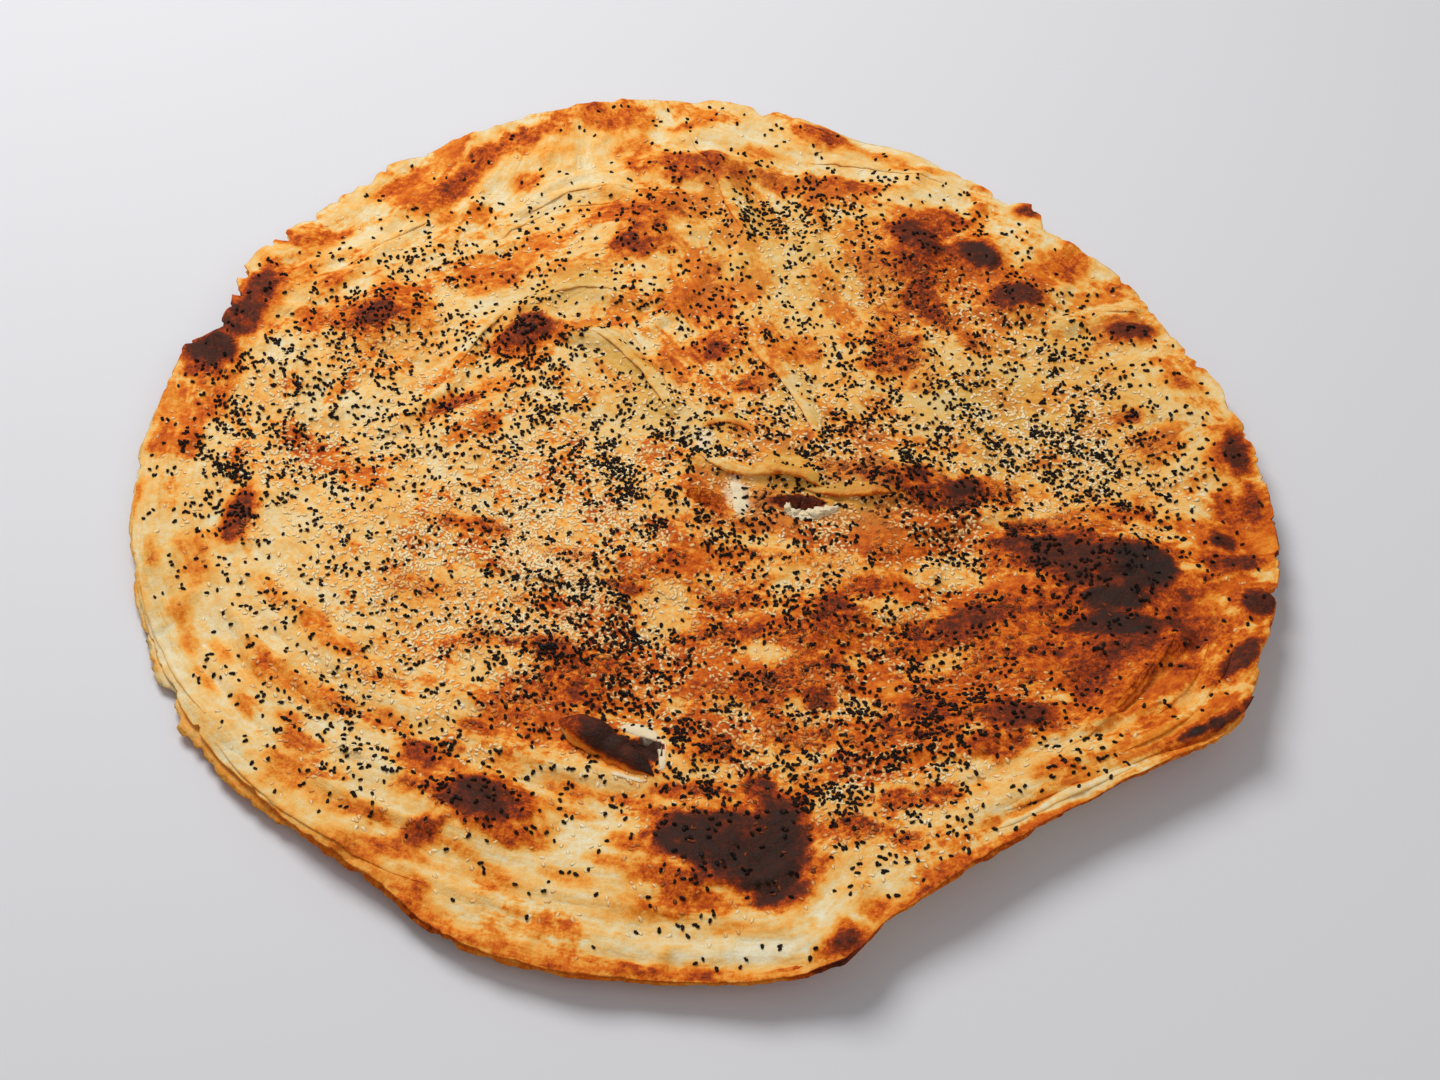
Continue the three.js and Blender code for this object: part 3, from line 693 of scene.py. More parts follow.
def plain_toast(x, y, tone, pale):
    """Toast of the crust between the named spots: cream, with faint clouds and paler streaks."""
    toast = PLAIN_TOAST + 0.11 * tone + 0.05 * rough(x, y, cell=7, seed=111, octaves=2)
    toast = toast + RIM_TOAST * smoothstep(0.955, 0.99, rim_share(x, y)) * smoothstep(-170, -240, y)
    limit = 1.2 - 1.2 * tone
    grown = patches(x, y, (0.6, 10, 191, 5), (0.5, 13, 201), (0.2, 4, 204))
    toast = toast + CLOUD_TOAST * smoothstep(limit - 0.45, limit + 0.45, grown)
    grown = patches(x, y, (0.7, 8, 291, 6), (0.5, 15, 301))
    toast = toast - CREAM_STREAK * smoothstep(0.1 + tone, 0.8 + tone, grown)
    return toast + (PALE_TOAST - toast) * 0.85 * pale + 0.05 * fine_relief(x, y)


def crust_at(x, y):
    """How toasted the crust is, and how far inside (above 0) an orange island each point lies."""
    tone = tone_at(x, y)
    ragged = 0.3 * rough(x, y, cell=10, seed=71) + 0.18 * rough(x, y, cell=4, seed=75, octaves=2)
    ragged = ragged + 0.2 * streaks(x, y, cell=5, seed=81, stride=4)
    pale = pale_at(x, y, ragged)
    islands = patches(x, y, (0.75, 11, 91, 6), (0.45, 16, 101), (0.15, 5, 104))
    islands = islands - 0.8 + 1.4 * tone - 1.2 * pale
    toast = spots_over(plain_toast(x, y, tone, pale), BROWNED, x, y, ragged, 0.4, 1.4)
    darker = 0.04 + 0.1 * rough(x, y, cell=6, seed=305, octaves=2)
    toast = toast + darker * smoothstep(0.3, 0.5, toast)
    halos = [
        (cx, cy, HALO_GROWS * a + HALO_WIDE, HALO_GROWS * b + HALO_WIDE, turn, HALO_TOAST)
        for cx, cy, a, b, turn, depth in CHARRED
    ]
    toast = spots_over(toast, halos, x, y, 0.8 * ragged, 0.45, 1.3)
    toast = spots_over(toast, CHARRED, x, y, 0.5 * ragged, 0.6, 1.25)
    flecks = smoothstep(0, 0.9, rough(x, y, cell=6, seed=311))
    return toast - 0.1 * flecks * smoothstep(0.62, 0.9, toast), islands


def oil_and_shade_at(x, y):
    """Olive tint: oiled crust in heaps and creases, and painted shade in creases and beside ridges."""
    creases = sum(CREASE_OIL_AND_SHADE * crease_at(fold, x, y) for fold in FOLDS)
    uneven = 0.8 + 0.4 * rough(x, y, cell=12, seed=111)
    return np.clip(heaped(OIL_AND_SHADE_HEAPS, x, y, creases) * uneven, 0, 1)


print(len(BROWNED), "browned spots,", len(CHARRED), "charred ones and", len(PALE), "pale ones")

# %% [markdown]
# The bread is one closed skin, made as a chain of loops: out over the top in rings, down the
# layered side and in along the underside. Ring k holds 6k points, so all triangles stay nearly
# equal. A grid would cut the round outline into steps, and a fan would crowd the middle.
#
# SIDE goes down the side: the share of the thickness, and how far the loop stands out. Where it
# stands in, the layers part. UNDER_SHARES goes inwards below: the share of the way out, and how
# many times fewer points the loop has. LOWER_LIPS and RAGGED_RIM hold turns, half widths and how
# much further the lower layer sticks out or how much more ragged the rim is there.

# %% Build the bread
TOP_RINGS = 150
RIM_POINTS = 6 * TOP_RINGS
SIDE = [
    (0.975, 0.35), (0.93, 0.6), (0.87, 0.35), (0.8, -0.5), (0.73, -2.2), (0.66, -3.4), (0.58, -3.4),
    (0.52, -1.6), (0.47, 0.1), (0.4, 0.7), (0.3, 0.4), (0.18, -0.6), (0.06, -2.2),
]
UNDER_SHARES = [
    (0.985, 1), (0.97, 1), (0.94, 2), (0.9, 2), (0.85, 3), (0.78, 3), (0.7, 6), (0.6, 6), (0.5, 9),
    (0.38, 9), (0.25, 18), (0.12, 36),
]
LOWER_LIPS = [(214, 13, 5), (185, 16, 1.5), (250, 8, 1)]
RAGGED_RIM = [
    (150, 16, 2.6), (130, 14, 1.6), (172, 8, 1.5), (8, 22, 1.6), (340, 10, 1.2), (48, 14, 1.8),
    (82, 6, 2), (318, 18, -0.4), (212, 16, 0.5),
]
RAGGED_REACH = 265
PLAIN_RAGGED = 0.45
BITE_DEEP = 2.2
LOWER_BITE_DEEP = 1.6


def band(outer, inner):
    """Triangles between two closed loops of point numbers. A loop may be a single point."""
    n, m = len(outer), len(inner)
    faces = []
    a = b = 0
    while a < (n if n > 1 else 0) or b < (m if m > 1 else 0):
        if m == 1 or b >= m or (a < n and (a + 1) * m <= (b + 1) * n):
            faces.append((outer[a % n], outer[(a + 1) % n], inner[b % m]))
            a += 1
        else:
            faces.append((inner[b % m], outer[a % n], inner[(b + 1) % m]))
            b += 1
    return faces


def loop_turns(count):
    """The turns of a loop's points, in degrees."""
    return 360 * np.arange(count) / count


def on_rim(turn, reach):
    """The point in a direction at a distance from the middle."""
    return reach * np.cos(np.radians(turn)), reach * np.sin(np.radians(turn))


def ragged_rim(turn, cell, seed):
    """Small random bites along the rim, alike at the start and the end of the round."""
    return noise(*on_rim(turn, RAGGED_REACH), cell, seed)


def top_loop(ring):
    """The points of one ring of the top. Only the outermost rings are ragged."""
    turn = loop_turns(max(1, 6 * ring))
    edge = smoothstep(0.93, 1, ring / TOP_RINGS)
    torn = PLAIN_RAGGED + rim_marks(RAGGED_RIM, turn)
    bites = ragged_rim(turn, cell=4.5, seed=121) + 0.4 * ragged_rim(turn, cell=2.5, seed=122)
    bites = np.clip(bites - 0.15, 0, None)
    ragged = 0.7 * ragged_rim(turn, cell=15, seed=123) - BITE_DEEP * torn * bites + 0.3 * torn
    return on_rim(turn, (rim_reach(turn) + edge * ragged) * ring / TOP_RINGS)


def side_loops(edge_x, edge_y):
    """The loops down the side, below the top's outermost ring."""
    turn = loop_turns(RIM_POINTS)
    bites = ragged_rim(turn, cell=7, seed=124) + 0.5 * ragged_rim(turn, cell=3.5, seed=127)
    bites = np.clip(bites, 0, None)
    lip = rim_marks(LOWER_LIPS, turn) * (1.15 - 0.9 * bites)
    lip = lip - LOWER_BITE_DEEP * bites + 0.8 * ragged_rim(turn, cell=20, seed=126)
    gap = np.clip(0.75 + 0.7 * ragged_rim(turn, cell=26, seed=125), 0.15, None)
    edge_reach = np.hypot(edge_x, edge_y)
    top_edge = top_height(edge_x, edge_y)
    low = underside(*on_rim(turn, edge_reach))
    loops = []
    for level, out in SIDE:
        lower = 1 - smoothstep(0.4, 0.5, level)
        reach = edge_reach + np.where(out < 0, out * gap, out) + lower * lip
        reach = reach + 0.25 * ragged_rim(turn, cell=4, seed=130 + int(100 * level))
        loops.append((*on_rim(turn, reach), low + level * (top_edge - low)))
    return loops


def under_loops():
    """The loops of the underside, from the rim to its middle."""
    loops = []
    for share, fewer in UNDER_SHARES:
        turn = loop_turns(RIM_POINTS // fewer)
        x, y = on_rim(turn, rim_reach(turn) * share)
        loops.append((x, y, underside(x, y)))
    return [*loops, (np.zeros(1), np.zeros(1), np.zeros(1))]


top_loops = [top_loop(ring) for ring in range(TOP_RINGS + 1)]
lower_loops = side_loops(*top_loops[-1]) + under_loops()
top_x, top_y = snap_to_tears(*[np.concatenate(values) for values in zip(*top_loops)])
rest = [np.concatenate(values) for values in zip(*lower_loops)]
bread_x = np.concatenate([top_x, rest[0]])
bread_y = np.concatenate([top_y, rest[1]])
bread_z = np.concatenate([top_height(top_x, top_y), rest[2]])
bread_faces = []
numbers = []
first = 0
for loop in top_loops + lower_loops:
    numbers.append(range(first, first + len(loop[0])))
    first += len(loop[0])
for outer, inner in zip(numbers[1:], numbers[:-1]):
    bread_faces.extend(band(outer, inner))
TOP_COUNT = len(top_x)
SIDE_COUNT = RIM_POINTS * len(SIDE)
print("bread:", len(bread_x), "points,", len(bread_faces), "triangles")

# %% [markdown]
# The mesh gets its numbers as attributes: toast, islands, an olive tint for oiled crust and for
# painted shade in creases and beside ridges, crumb where white torn dough shows, layer, which marks
# the flaky side, and the way the dough runs. The material reads them by name.
# CRUMB_SHOWS holds ellipses with a share of white, FLOOR_TOAST the toast in each tear, and
# RIM_BROWN turns and half widths with the toast of the side there.

# %% The bread's mesh and attributes
CRUMB_SHOWS = [(21.5, -15, 13, 5, -82, 0.75), (6, 18, 8, 4, 80, 0.7), (-19, -147, 7, 3, -28, 0.5)]
FLOOR_TOAST = [0.6, 0.84, 0.92]
RIM_BROWN = [
    (157, 8, 0.9), (222, 14, 0.36), (243, 6, 0.55), (248, 5, 0.6), (283, 5, 0.85), (300, 16, 0.58),
    (313, 12, 0.6), (330, 6, 0.4), (350, 12, 0.75), (20, 16, 0.4), (100, 20, 0.35), (262, 22, 0.5),
    (235, 8, 0.5),
]
GROOVE_LEVEL = 0.54
GROOVE_WIDE = 0.1


def new_piece(name, points, faces):
    """A mesh object from millimetre points, shifted so that the bread is centred on the origin."""
    mesh = bpy.data.meshes.new(name)
    shifted = (np.asarray(points, float) - (MIDDLE[0], MIDDLE[1], 0)) * MM
    mesh.from_pydata(shifted.tolist(), [], faces)
    return shown(name, mesh, smooth=True)


def shown(name, mesh, smooth):
    """An object that shows the mesh, with soft or sharp shading."""
    mesh.polygons.foreach_set("use_smooth", [smooth] * len(mesh.polygons))
    piece = bpy.data.objects.new(name, mesh)
    bpy.context.scene.collection.objects.link(piece)
    return piece


def paint(piece, name, values):
    """Stores one number for each point of the mesh."""
    attribute = piece.data.attributes.new(name, "FLOAT", "POINT")
    attribute.data.foreach_set("value", np.asarray(values, np.float32))


def paint_dough_run(piece, x, y):
    """Stores twice the dough's angle as a vector, which has no jump where the angle starts again."""
    run_x, run_y = dough_direction(x, y)
    doubled = np.column_stack([run_x**2 - run_y**2, 2 * run_x * run_y, np.zeros(len(x))])
    attribute = piece.data.attributes.new("dough_run", "FLOAT_VECTOR", "POINT")
    attribute.data.foreach_set("vector", doubled.astype(np.float32).ravel())


toast, islands = crust_at(bread_x, bread_y)
toast = np.clip(toast, 0, 1)
oil = oil_and_shade_at(bread_x, bread_y)
crumb = np.zeros_like(toast)
for opening, floor_toast in zip(OPENINGS, FLOOR_TOAST):
    inside = (tear_distance(opening, bread_x, bread_y) < 1.02) & (np.arange(len(toast)) < TOP_COUNT)
    toast = np.where(inside, floor_toast, toast)
    islands = np.where(inside, -1, islands)
for cx, cy, half_length, half_width, turn, depth in CRUMB_SHOWS:
    q = inside_ellipse(bread_x, bread_y, cx, cy, half_length, half_width, turn)
    q = q + 0.3 * noise(bread_x, bread_y, cell=3, seed=77)
    crumb = np.maximum(crumb, depth * (1 - smoothstep(0.7, 1.2, q)))

index = np.arange(len(toast))
is_side = (index >= TOP_COUNT) & (index < TOP_COUNT + SIDE_COUNT)
is_under = index >= TOP_COUNT + SIDE_COUNT
bread_turn = np.degrees(np.arctan2(bread_y, bread_x))
rim_toast = 0.2 + 0.15 * rough(bread_x, bread_y, cell=12, seed=141)
for at, half_width, depth in RIM_BROWN:
    share = along_rim(bread_turn, at, half_width)
    rim_toast = np.maximum(rim_toast, rim_toast + (depth - rim_toast) * share)
side_level = np.zeros_like(toast)
side_level[is_side] = np.repeat([level for level, out in SIDE], RIM_POINTS)
groove = np.exp(-(((side_level - GROOVE_LEVEL) / GROOVE_WIDE) ** 2))
rim_toast = rim_toast + 0.1 * (side_level < 0.3) - 0.06 * groove
toast = np.where(is_side, rim_toast, toast)
under_toast = 0.3 + 0.28 * rough(bread_x, bread_y, cell=34, seed=151)
under_toast = under_toast + 0.14 * streaks(bread_x, bread_y, cell=10, seed=161, stride=6)
toast = np.where(is_under, np.clip(under_toast, 0.05, 0.8), toast)
oil = np.where(is_side | is_under, 0, oil)

bread = new_piece("bread", np.column_stack([bread_x, bread_y, bread_z]), bread_faces)
paint(bread, "toast", np.clip(toast, 0, 1))
paint(bread, "oil", oil)
paint(bread, "crumb", crumb)
paint(bread, "layer", is_side.astype(float))
paint(bread, "islands", np.where(is_side | is_under, islands - 0.5, islands))
paint_dough_run(bread, bread_x, bread_y)
print("toast from", toast.min().round(2), "to", toast.max().round(2))

# %% [markdown]
# Materials are node trees. A page of calls that add and link single nodes is slow to read, so one
# small class wraps a socket: adding or multiplying two of them adds the Math node that does it.

# %% Tools for node trees


class Wire:
    """A socket that can be used like a number in a formula."""

    def __init__(self, tree, socket):
        self.tree = tree
        self.socket = socket

    def __add__(self, other):
        return self.tree.math("ADD", self, other)

    __radd__ = __add__

    def __sub__(self, other):
        return self.tree.math("SUBTRACT", self, other)

    def __rsub__(self, other):
        return self.tree.math("SUBTRACT", other, self)

    def __mul__(self, other):
        return self.tree.math("MULTIPLY", self, other)

    __rmul__ = __mul__

    def clamp(self):
        """Held between 0 and 1."""
        held = self.tree.math("ADD", self, 0)
        held.socket.node.use_clamp = True
        return held

    def between(self, low, high):
        """0 below low, 1 above high, and smooth between them."""
        inputs = {"Value": self, "From Min": low, "From Max": high}
        return self.tree.node("ShaderNodeMapRange", {"interpolation_type": "SMOOTHSTEP"}, inputs)


class Tree:
    """A node tree that makes nodes in one call."""

    def __init__(self, tree):
        self.tree = tree

    def math(self, operation, *values):
        return self.node("ShaderNodeMath", {"operation": operation}, dict(enumerate(values)))

    def node(self, kind, settings=None, inputs=None, output=0):
        """Adds a node, sets its properties, feeds its inputs and returns one of its outputs."""
        made = self.tree.nodes.new(kind)
        for name, value in (settings or {}).items():
            if name == "stops":
                set_stops(made.color_ramp, value)
            else:
                setattr(made, name, value)
        for name, value in (inputs or {}).items():
            self.feed(made.inputs[name], value)
        return Wire(self, made.outputs[output])

    def feed(self, socket, value):
        if isinstance(value, Wire):
            self.tree.links.new(value.socket, socket)
        else:
            socket.default_value = value

    def attribute(self, name):
        return self.node("ShaderNodeAttribute", {"attribute_name": name}, output="Fac")

    def noise(self, point, scale, detail=3, roughness=0.55):
        inputs = {"Vector": point, "Scale": scale, "Detail": detail, "Roughness": roughness}
        return self.node("ShaderNodeTexNoise", {}, inputs)

    def mix(self, share, a, b):
        """Colour a where the share is 0 and colour b where it is 1."""
        return self.node("ShaderNodeMix", {"data_type": "RGBA"}, {0: share, 6: a, 7: b}, output=2)

    def vector(self, x, y, z):
        return self.node("ShaderNodeCombineXYZ", {}, {"X": x, "Y": y, "Z": z})

    def split(self, vector):
        """The x, y and z of a vector, as three wires."""
        parts = self.node("ShaderNodeSeparateXYZ", {}, {0: vector}).socket.node.outputs
        return [Wire(self, part) for part in parts]

    def bump(self, strength, distance, height):
        inputs = {"Strength": strength, "Distance": distance, "Height": height}
        return self.node("ShaderNodeBump", {}, inputs)


def set_stops(ramp, stops):
    """Gives a colour ramp its stops. A new ramp already has two, so the list starts with its ends."""
    for element, (place, colour) in zip(ramp.elements, stops):
        element.position = place
        element.color = colour
    for place, colour in stops[2:]:
        ramp.elements.new(place).color = colour


def rgb(red, green, blue):
    """A colour as the eye reads it on a screen, turned into the linear values that Blender mixes."""
    parts = []
    for value in (red, green, blue):
        part = value / 255
        parts.append(part / 12.92 if part <= 0.04045 else ((part + 0.055) / 1.055) ** 2.4)
    return (*parts, 1)


def new_material(name):
    """A material with its tree, its surface shader and the object's own coordinates."""
    material = bpy.data.materials.new(name)
    material.use_nodes = True
    tree = Tree(material.node_tree)
    surface = material.node_tree.nodes["Principled BSDF"]
    point = tree.node("ShaderNodeTexCoord", output="Object")
    return material, tree, surface, point


# %% [markdown]
# Crust colour is one ramp over toast, from cream dough through gold and orange to char. Fine
# noise is added to toast before the ramp, so that every patch breaks up into darker and paler
# grains as blistered dough does. Noise on the finished colour would only look dirty.

# %% The crust's material
CRUST_STOPS = [
    (0.0, rgb(240, 230, 196)),
    (1.0, rgb(50, 34, 29)),
    (0.1, rgb(240, 214, 160)),
    (0.2, rgb(244, 196, 116)),
    (0.33, rgb(246, 170, 72)),
    (0.42, rgb(236, 139, 38)),
    (0.53, rgb(218, 102, 14)),
    (0.65, rgb(174, 66, 10)),
    (0.77, rgb(120, 46, 18)),
    (0.89, rgb(72, 36, 24)),
]
# The olive of oiled crust, used also for painted shade in creases and beside ridges.
OIL_AND_SHADE_OLIVE = rgb(212, 166, 72)
CRUMB_WHITE = rgb(240, 228, 198)
ASH_GREY = rgb(74, 64, 60)
GRAIN_SCALE = 900
SPECK_SCALE = 330
STROKE_SCALE = 420
LAYER_SCALE = (60, 60, 1400)
SMEAR = 0.0011
RELIEF_DEEP = 0.001
CRUST_SPECULAR = 0.14


def along_dough(tree, point, scale, steps, detail):
    """Noise smeared along the dough: the same noise at a few places along the line, averaged."""
    doubled = tree.node("ShaderNodeAttribute", {"attribute_name": "dough_run"}, output="Vector")
    cosine, sine, _ = tree.split(doubled)
    angle = tree.math("ARCTAN2", sine, cosine) * 0.5
    run = tree.vector(tree.math("COSINE", angle), tree.math("SINE", angle), 0.0)
    total = 0
    for k in range(-steps, steps + 1):
        offset = tree.node("ShaderNodeVectorMath", {"operation": "SCALE"}, {0: run, "Scale": k * SMEAR})
        place = tree.node("ShaderNodeVectorMath", {"operation": "ADD"}, {0: point, 1: offset})
        total = total + tree.noise(place, scale, detail, 0.6)
    return (total * (1 / (2 * steps + 1)) - 0.5) * 2


def make_crust():
    """Crust whose toast is broken up by noise of three sizes before the ramp colours it."""
    material, tree, surface, point = new_material("crust")
    toast = tree.attribute("toast")
    oil = tree.attribute("oil")
    crumb = tree.attribute("crumb")
    layer = tree.attribute("layer")
    seeded = tree.attribute("seeded")
    grain = tree.noise(point, GRAIN_SCALE, 3, 0.6)
    specks = tree.noise(point, SPECK_SCALE, 3, 0.6)
    strokes = along_dough(tree, point, STROKE_SCALE, 3, 2)
    browned = toast.between(0.3, 0.6)
    even = 1 - 0.6 * toast.between(0.72, 0.9)
    torn_edge = (specks - 0.5) * 0.9 + strokes * 0.7
    island = (tree.attribute("islands") + torn_edge).between(-0.3, 0.38)
    shade = toast + 0.28 * island * (1 - toast.between(0.25, 0.6))
    shade = shade + 0.16 * seeded * (1 - toast.between(0.12, 0.36))
    shade = shade + (grain - 0.5) * (0.14 + 0.22 * browned + 0.2 * seeded) * even
    shade = shade + (specks - 0.5) * (0.31 + 0.34 * browned + 0.36 * seeded) * even
    shade = shade + strokes * 0.28 * even
    colour = tree.node("ShaderNodeValToRGB", {"stops": CRUST_STOPS}, {"Fac": shade.clamp()})
    # Olive tint: oiled crust, and painted shade in the creases and beside some ridges.
    oil_and_shade_mix = (oil * (0.6 + specks * 0.6) * (1 - toast.between(0.45, 0.75))).clamp()
    colour = tree.mix(oil_and_shade_mix * 0.8, colour, OIL_AND_SHADE_OLIVE)
    colour = tree.mix(crumb, colour, CRUMB_WHITE)
    ash = toast.between(0.88, 0.98) * specks.between(0.52, 0.7)
    colour = tree.mix(ash * 0.3, colour, ASH_GREY)
    tree.feed(surface.inputs["Base Color"], colour)
    tree.feed(surface.inputs["Roughness"], (0.66 - 0.22 * oil_and_shade_mix + 0.25 * (grain - 0.5)).clamp())
    strata = tree.node("ShaderNodeMapping", {}, {"Vector": point, "Scale": LAYER_SCALE})
    flakes = tree.noise(strata, 1, 4, 0.6)
    bubbly = 1 + browned
    height = (grain * 0.3 + specks * 0.6) * bubbly + layer * flakes * 1.2 + strokes * 0.8
    tree.feed(surface.inputs["Normal"], tree.bump(0.8, RELIEF_DEEP, height))
    surface.inputs["Specular IOR Level"].default_value = CRUST_SPECULAR
    return material


crust = make_crust()
bread.data.materials.append(crust)
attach(bread, body)
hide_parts("flatbread")
print("the crust's material has", len(crust.node_tree.nodes), "nodes")

# %% [markdown]
# Where one layer of dough ends on top of another, its edge stands up as a thin lip that hangs
# over a little and casts a crisp shadow. A height map can't hang over, so each lip is a thin
# closed piece, swept along its path: a nose on the right of the path, a back, and a tail that
# runs out into the crust. The burst tube of a blister, its torn skin and a thin pale strip that
# paints a highlight along the tube's front are made in the same way.
#
# A section is a list of points across and up, as shares of the half width and the height. Each
# lip has its height, its half width and its path. CRUMB_LUMPS holds crumbly blobs beside a tear:
# x, y, half length, half width, turn and height.

# %% Lips of dough
LIP_SECTION = [
    (1.0, 0.4), (0.86, 0.76), (0.45, 1.0), (-0.2, 0.95), (-1.0, 0.62), (-2.0, 0.22), (-3.0, -0.3),
    (-1.6, -0.9), (0.2, -0.9), (0.75, -0.2), (0.98, 0.08),
]
TUBE_SECTION = [
    (1.0, 0.1), (0.95, 0.4), (0.8, 0.66), (0.55, 0.86), (0.25, 0.97), (-0.1, 1.0), (-0.45, 0.9),
    (-0.75, 0.68), (-0.95, 0.36), (-1.05, -0.1), (-0.5, -0.5), (0.5, -0.5),
]
LIPS = [
    (1.9, 2, [(4, 6), (14, 0), (28, -3.5), (44, -5), (56, -9.5), (64, -14)]),
    (1.7, 1.9, [(52, -12), (66, -15.5), (78, -17.5), (92, -19)]),
    (1.1, 2.2, [(-66, 84), (-60, 90), (-48, 92), (-36, 82), (-24, 66), (-16, 50), (-9, 33)]),
    (0.8, 1.8, [(-34, 100), (-21, 79), (-13, 63), (-7, 48)]),
    (1.3, 2, [(1, 20), (4, 27), (16, 31), (27, 26), (31, 19)]),
    (1.1, 2.2, [(22, 88), (40, 66), (52, 45), (58, 25), (60, 8)]),
    (0.9, 2, [(-3, 242), (8, 222), (15, 200), (20, 180), (25, 163)]),
    (0.6, 1.6, [(-106, 156), (-92, 174), (-70, 187), (-38, 190)]),
    (0.6, 1.6, [(-88, 182), (-66, 197), (-40, 200), (-12, 192)]),
    (0.8, 1.8, [(-118, 62), (-108, 85), (-95, 105), (-75, 118), (-50, 122), (-28, 114)]),
    (0.8, 1.3, [(150, -170), (185, -140), (205, -112), (214, -96)]),
    (0.8, 1.4, [(160, -163), (188, -134), (203, -112)]),
    (0.8, 1.4, [(172, -150), (192, -126), (208, -104)]),
    (0.9, 1.6, [(180, -168), (208, -150), (225, -128), (234, -112)]),
    (0.8, 1.5, [(196, -148), (214, -128), (224, -108)]),
    (1.5, 2.1, [(194, -167), (212, -159), (229, -149), (237, -142)]),
    (0.7, 1.4, [(128, -196), (160, -182), (195, -166), (222, -152)]),
    (0.7, 1.4, [(120, -207), (150, -191), (185, -174)]),
    (0.8, 1.5, [(-250, -30), (-243, -70), (-226, -108), (-205, -140)]),
    (0.8, 1.5, [(-200, -152), (-170, -184), (-134, -210), (-104, -224)]),
    (0.9, 1.6, [(176, 98), (196, 106), (222, 104)]),
    (0.7, 1.5, [(60, 222), (92, 218), (122, 206), (150, 192)]),
    (0.7, 1.5, [(-186, 128), (-166, 150), (-134, 178)]),
]
TORN_SKIN_AND_HIGHLIGHT = [
    (1.1, 2, [(-29, -144), (-21, -147), (-12.5, -151)]),
    (1.0, 1.0, [(-12.5, -150), (-11.5, -158), (-11, -169)]),
    # This strip is no torn skin: it is a thin pale sliver, a painted highlight along the tube's front
    # foot.
    (0.6, 0.8, [(-32, -170), (-26, -172), (-18, -174)]),
    (1.1, 2, [(19, -7), (21, -16), (22, -28)]),
    (0.9, 1.6, [(43, -24), (46, -28), (52, -29.5), (58, -28.5), (65, -25)]),
]
BURST_TUBE = (7.2, 6.2, [(-55, -141), (-44, -148), (-32, -156), (-22, -164), (-14, -171)])
CRUMB_LUMPS = [
    (44.5, -25, 1.5, 2.6, 0, 2.2), (47.5, -27.5, 3, 2, 20, 1.9), (52, -28.5, 3.4, 1.4, -5, 1.3),
    (57, -27.3, 4.2, 2.5, 8, 2.3), (62, -26, 3.6, 2.5, 15, 2.4), (66, -24.4, 2.6, 1.6, 40, 1.4),
]
SWEEP_STEP = 1.6
LUMP_FOOT = 6
LUMP_ROUGH = 0.5


def even_path(points):
    """The smooth path again, with points at even distances."""
    path = smooth_path(points)
    gone = np.concatenate([[0], np.cumsum(np.hypot(*np.diff(path, axis=0).T))])
    at = np.linspace(0, gone[-1], max(4, int(gone[-1] / SWEEP_STEP)))
    return np.column_stack([np.interp(at, gone, path[:, 0]), np.interp(at, gone, path[:, 1])])


def sweep(lip, section, taper, seed):
    """Points and faces of a closed lip, and how far up and across its section each point lies."""
    high, wide, points = lip
    path = even_path(points)
    along = np.gradient(path, axis=0)
    along = along / np.hypot(along[:, 0], along[:, 1])[:, None]
    share = np.linspace(0, 1, len(path))
    size = 0.06 + 0.94 * np.sqrt(smoothstep(0, taper[0], share) * smoothstep(0, taper[1], 1 - share))
    uneven = 1 + 0.25 * noise(*path.T, cell=9, seed=seed) + 0.15 * noise(*path.T, cell=4, seed=seed)
    size = (size * uneven)[:, None]
    across = np.array([u for u, v in section])
    up = np.array([v for u, v in section])
    x = path[:, :1] + along[:, 1:] * across * wide * size
    y = path[:, 1:] - along[:, :1] * across * wide * size
    foot = top_height(*path.T)[:, None]
    z = np.where(across > 0, foot, top_height(x, y)) + up * high * size
    count, around = x.shape
    ring = np.arange(around)
    faces = []
    for i in range(count - 1):
        for k in ring:
            a, b = i * around + k, i * around + (k + 1) % around
            faces.append((a, b, b + around, a + around))
    faces.append(tuple(ring[::-1]))
    faces.append(tuple((count - 1) * around + ring))
    points = np.column_stack([x.ravel(), y.ravel(), z.ravel()])
    return points, faces, np.tile(up, count), np.tile(across, count)


def lump(spot, seed):
    """A closed crumbly blob that sits half in the crust."""
    cx, cy, half_length, half_width, turn, high = spot
    ball = bmesh.new()
    bmesh.ops.create_icosphere(ball, subdivisions=3, radius=1)
    p = np.array([v.co[:] for v in ball.verts])
    faces = [tuple(v.index for v in f.verts) for f in ball.faces]
    ball.free()
    dents = noise(3 * p[:, 0] + p[:, 2], 3 * p[:, 1] - p[:, 2], cell=0.6, seed=seed)
    p = p * (1 + LUMP_ROUGH * dents[:, None])
    c, s = math.cos(math.radians(turn)), math.sin(math.radians(turn))
    x = cx + c * p[:, 0] * half_length - s * p[:, 1] * half_width
    y = cy + s * p[:, 0] * half_length + c * p[:, 1] * half_width
    z = max(top_height(np.array([cx]), np.array([cy]))[0], LUMP_FOOT) + 0.3 * high + p[:, 2] * high
    return np.column_stack([x, y, z]), faces


def joined(parts):
    """One list of points and one of faces from several closed parts."""
    faces = []
    start = 0
    for part in parts:
        faces.extend(tuple(int(k) + start for k in face) for face in part[1])
        start += len(part[0])
    return np.concatenate([part[0] for part in parts]), faces


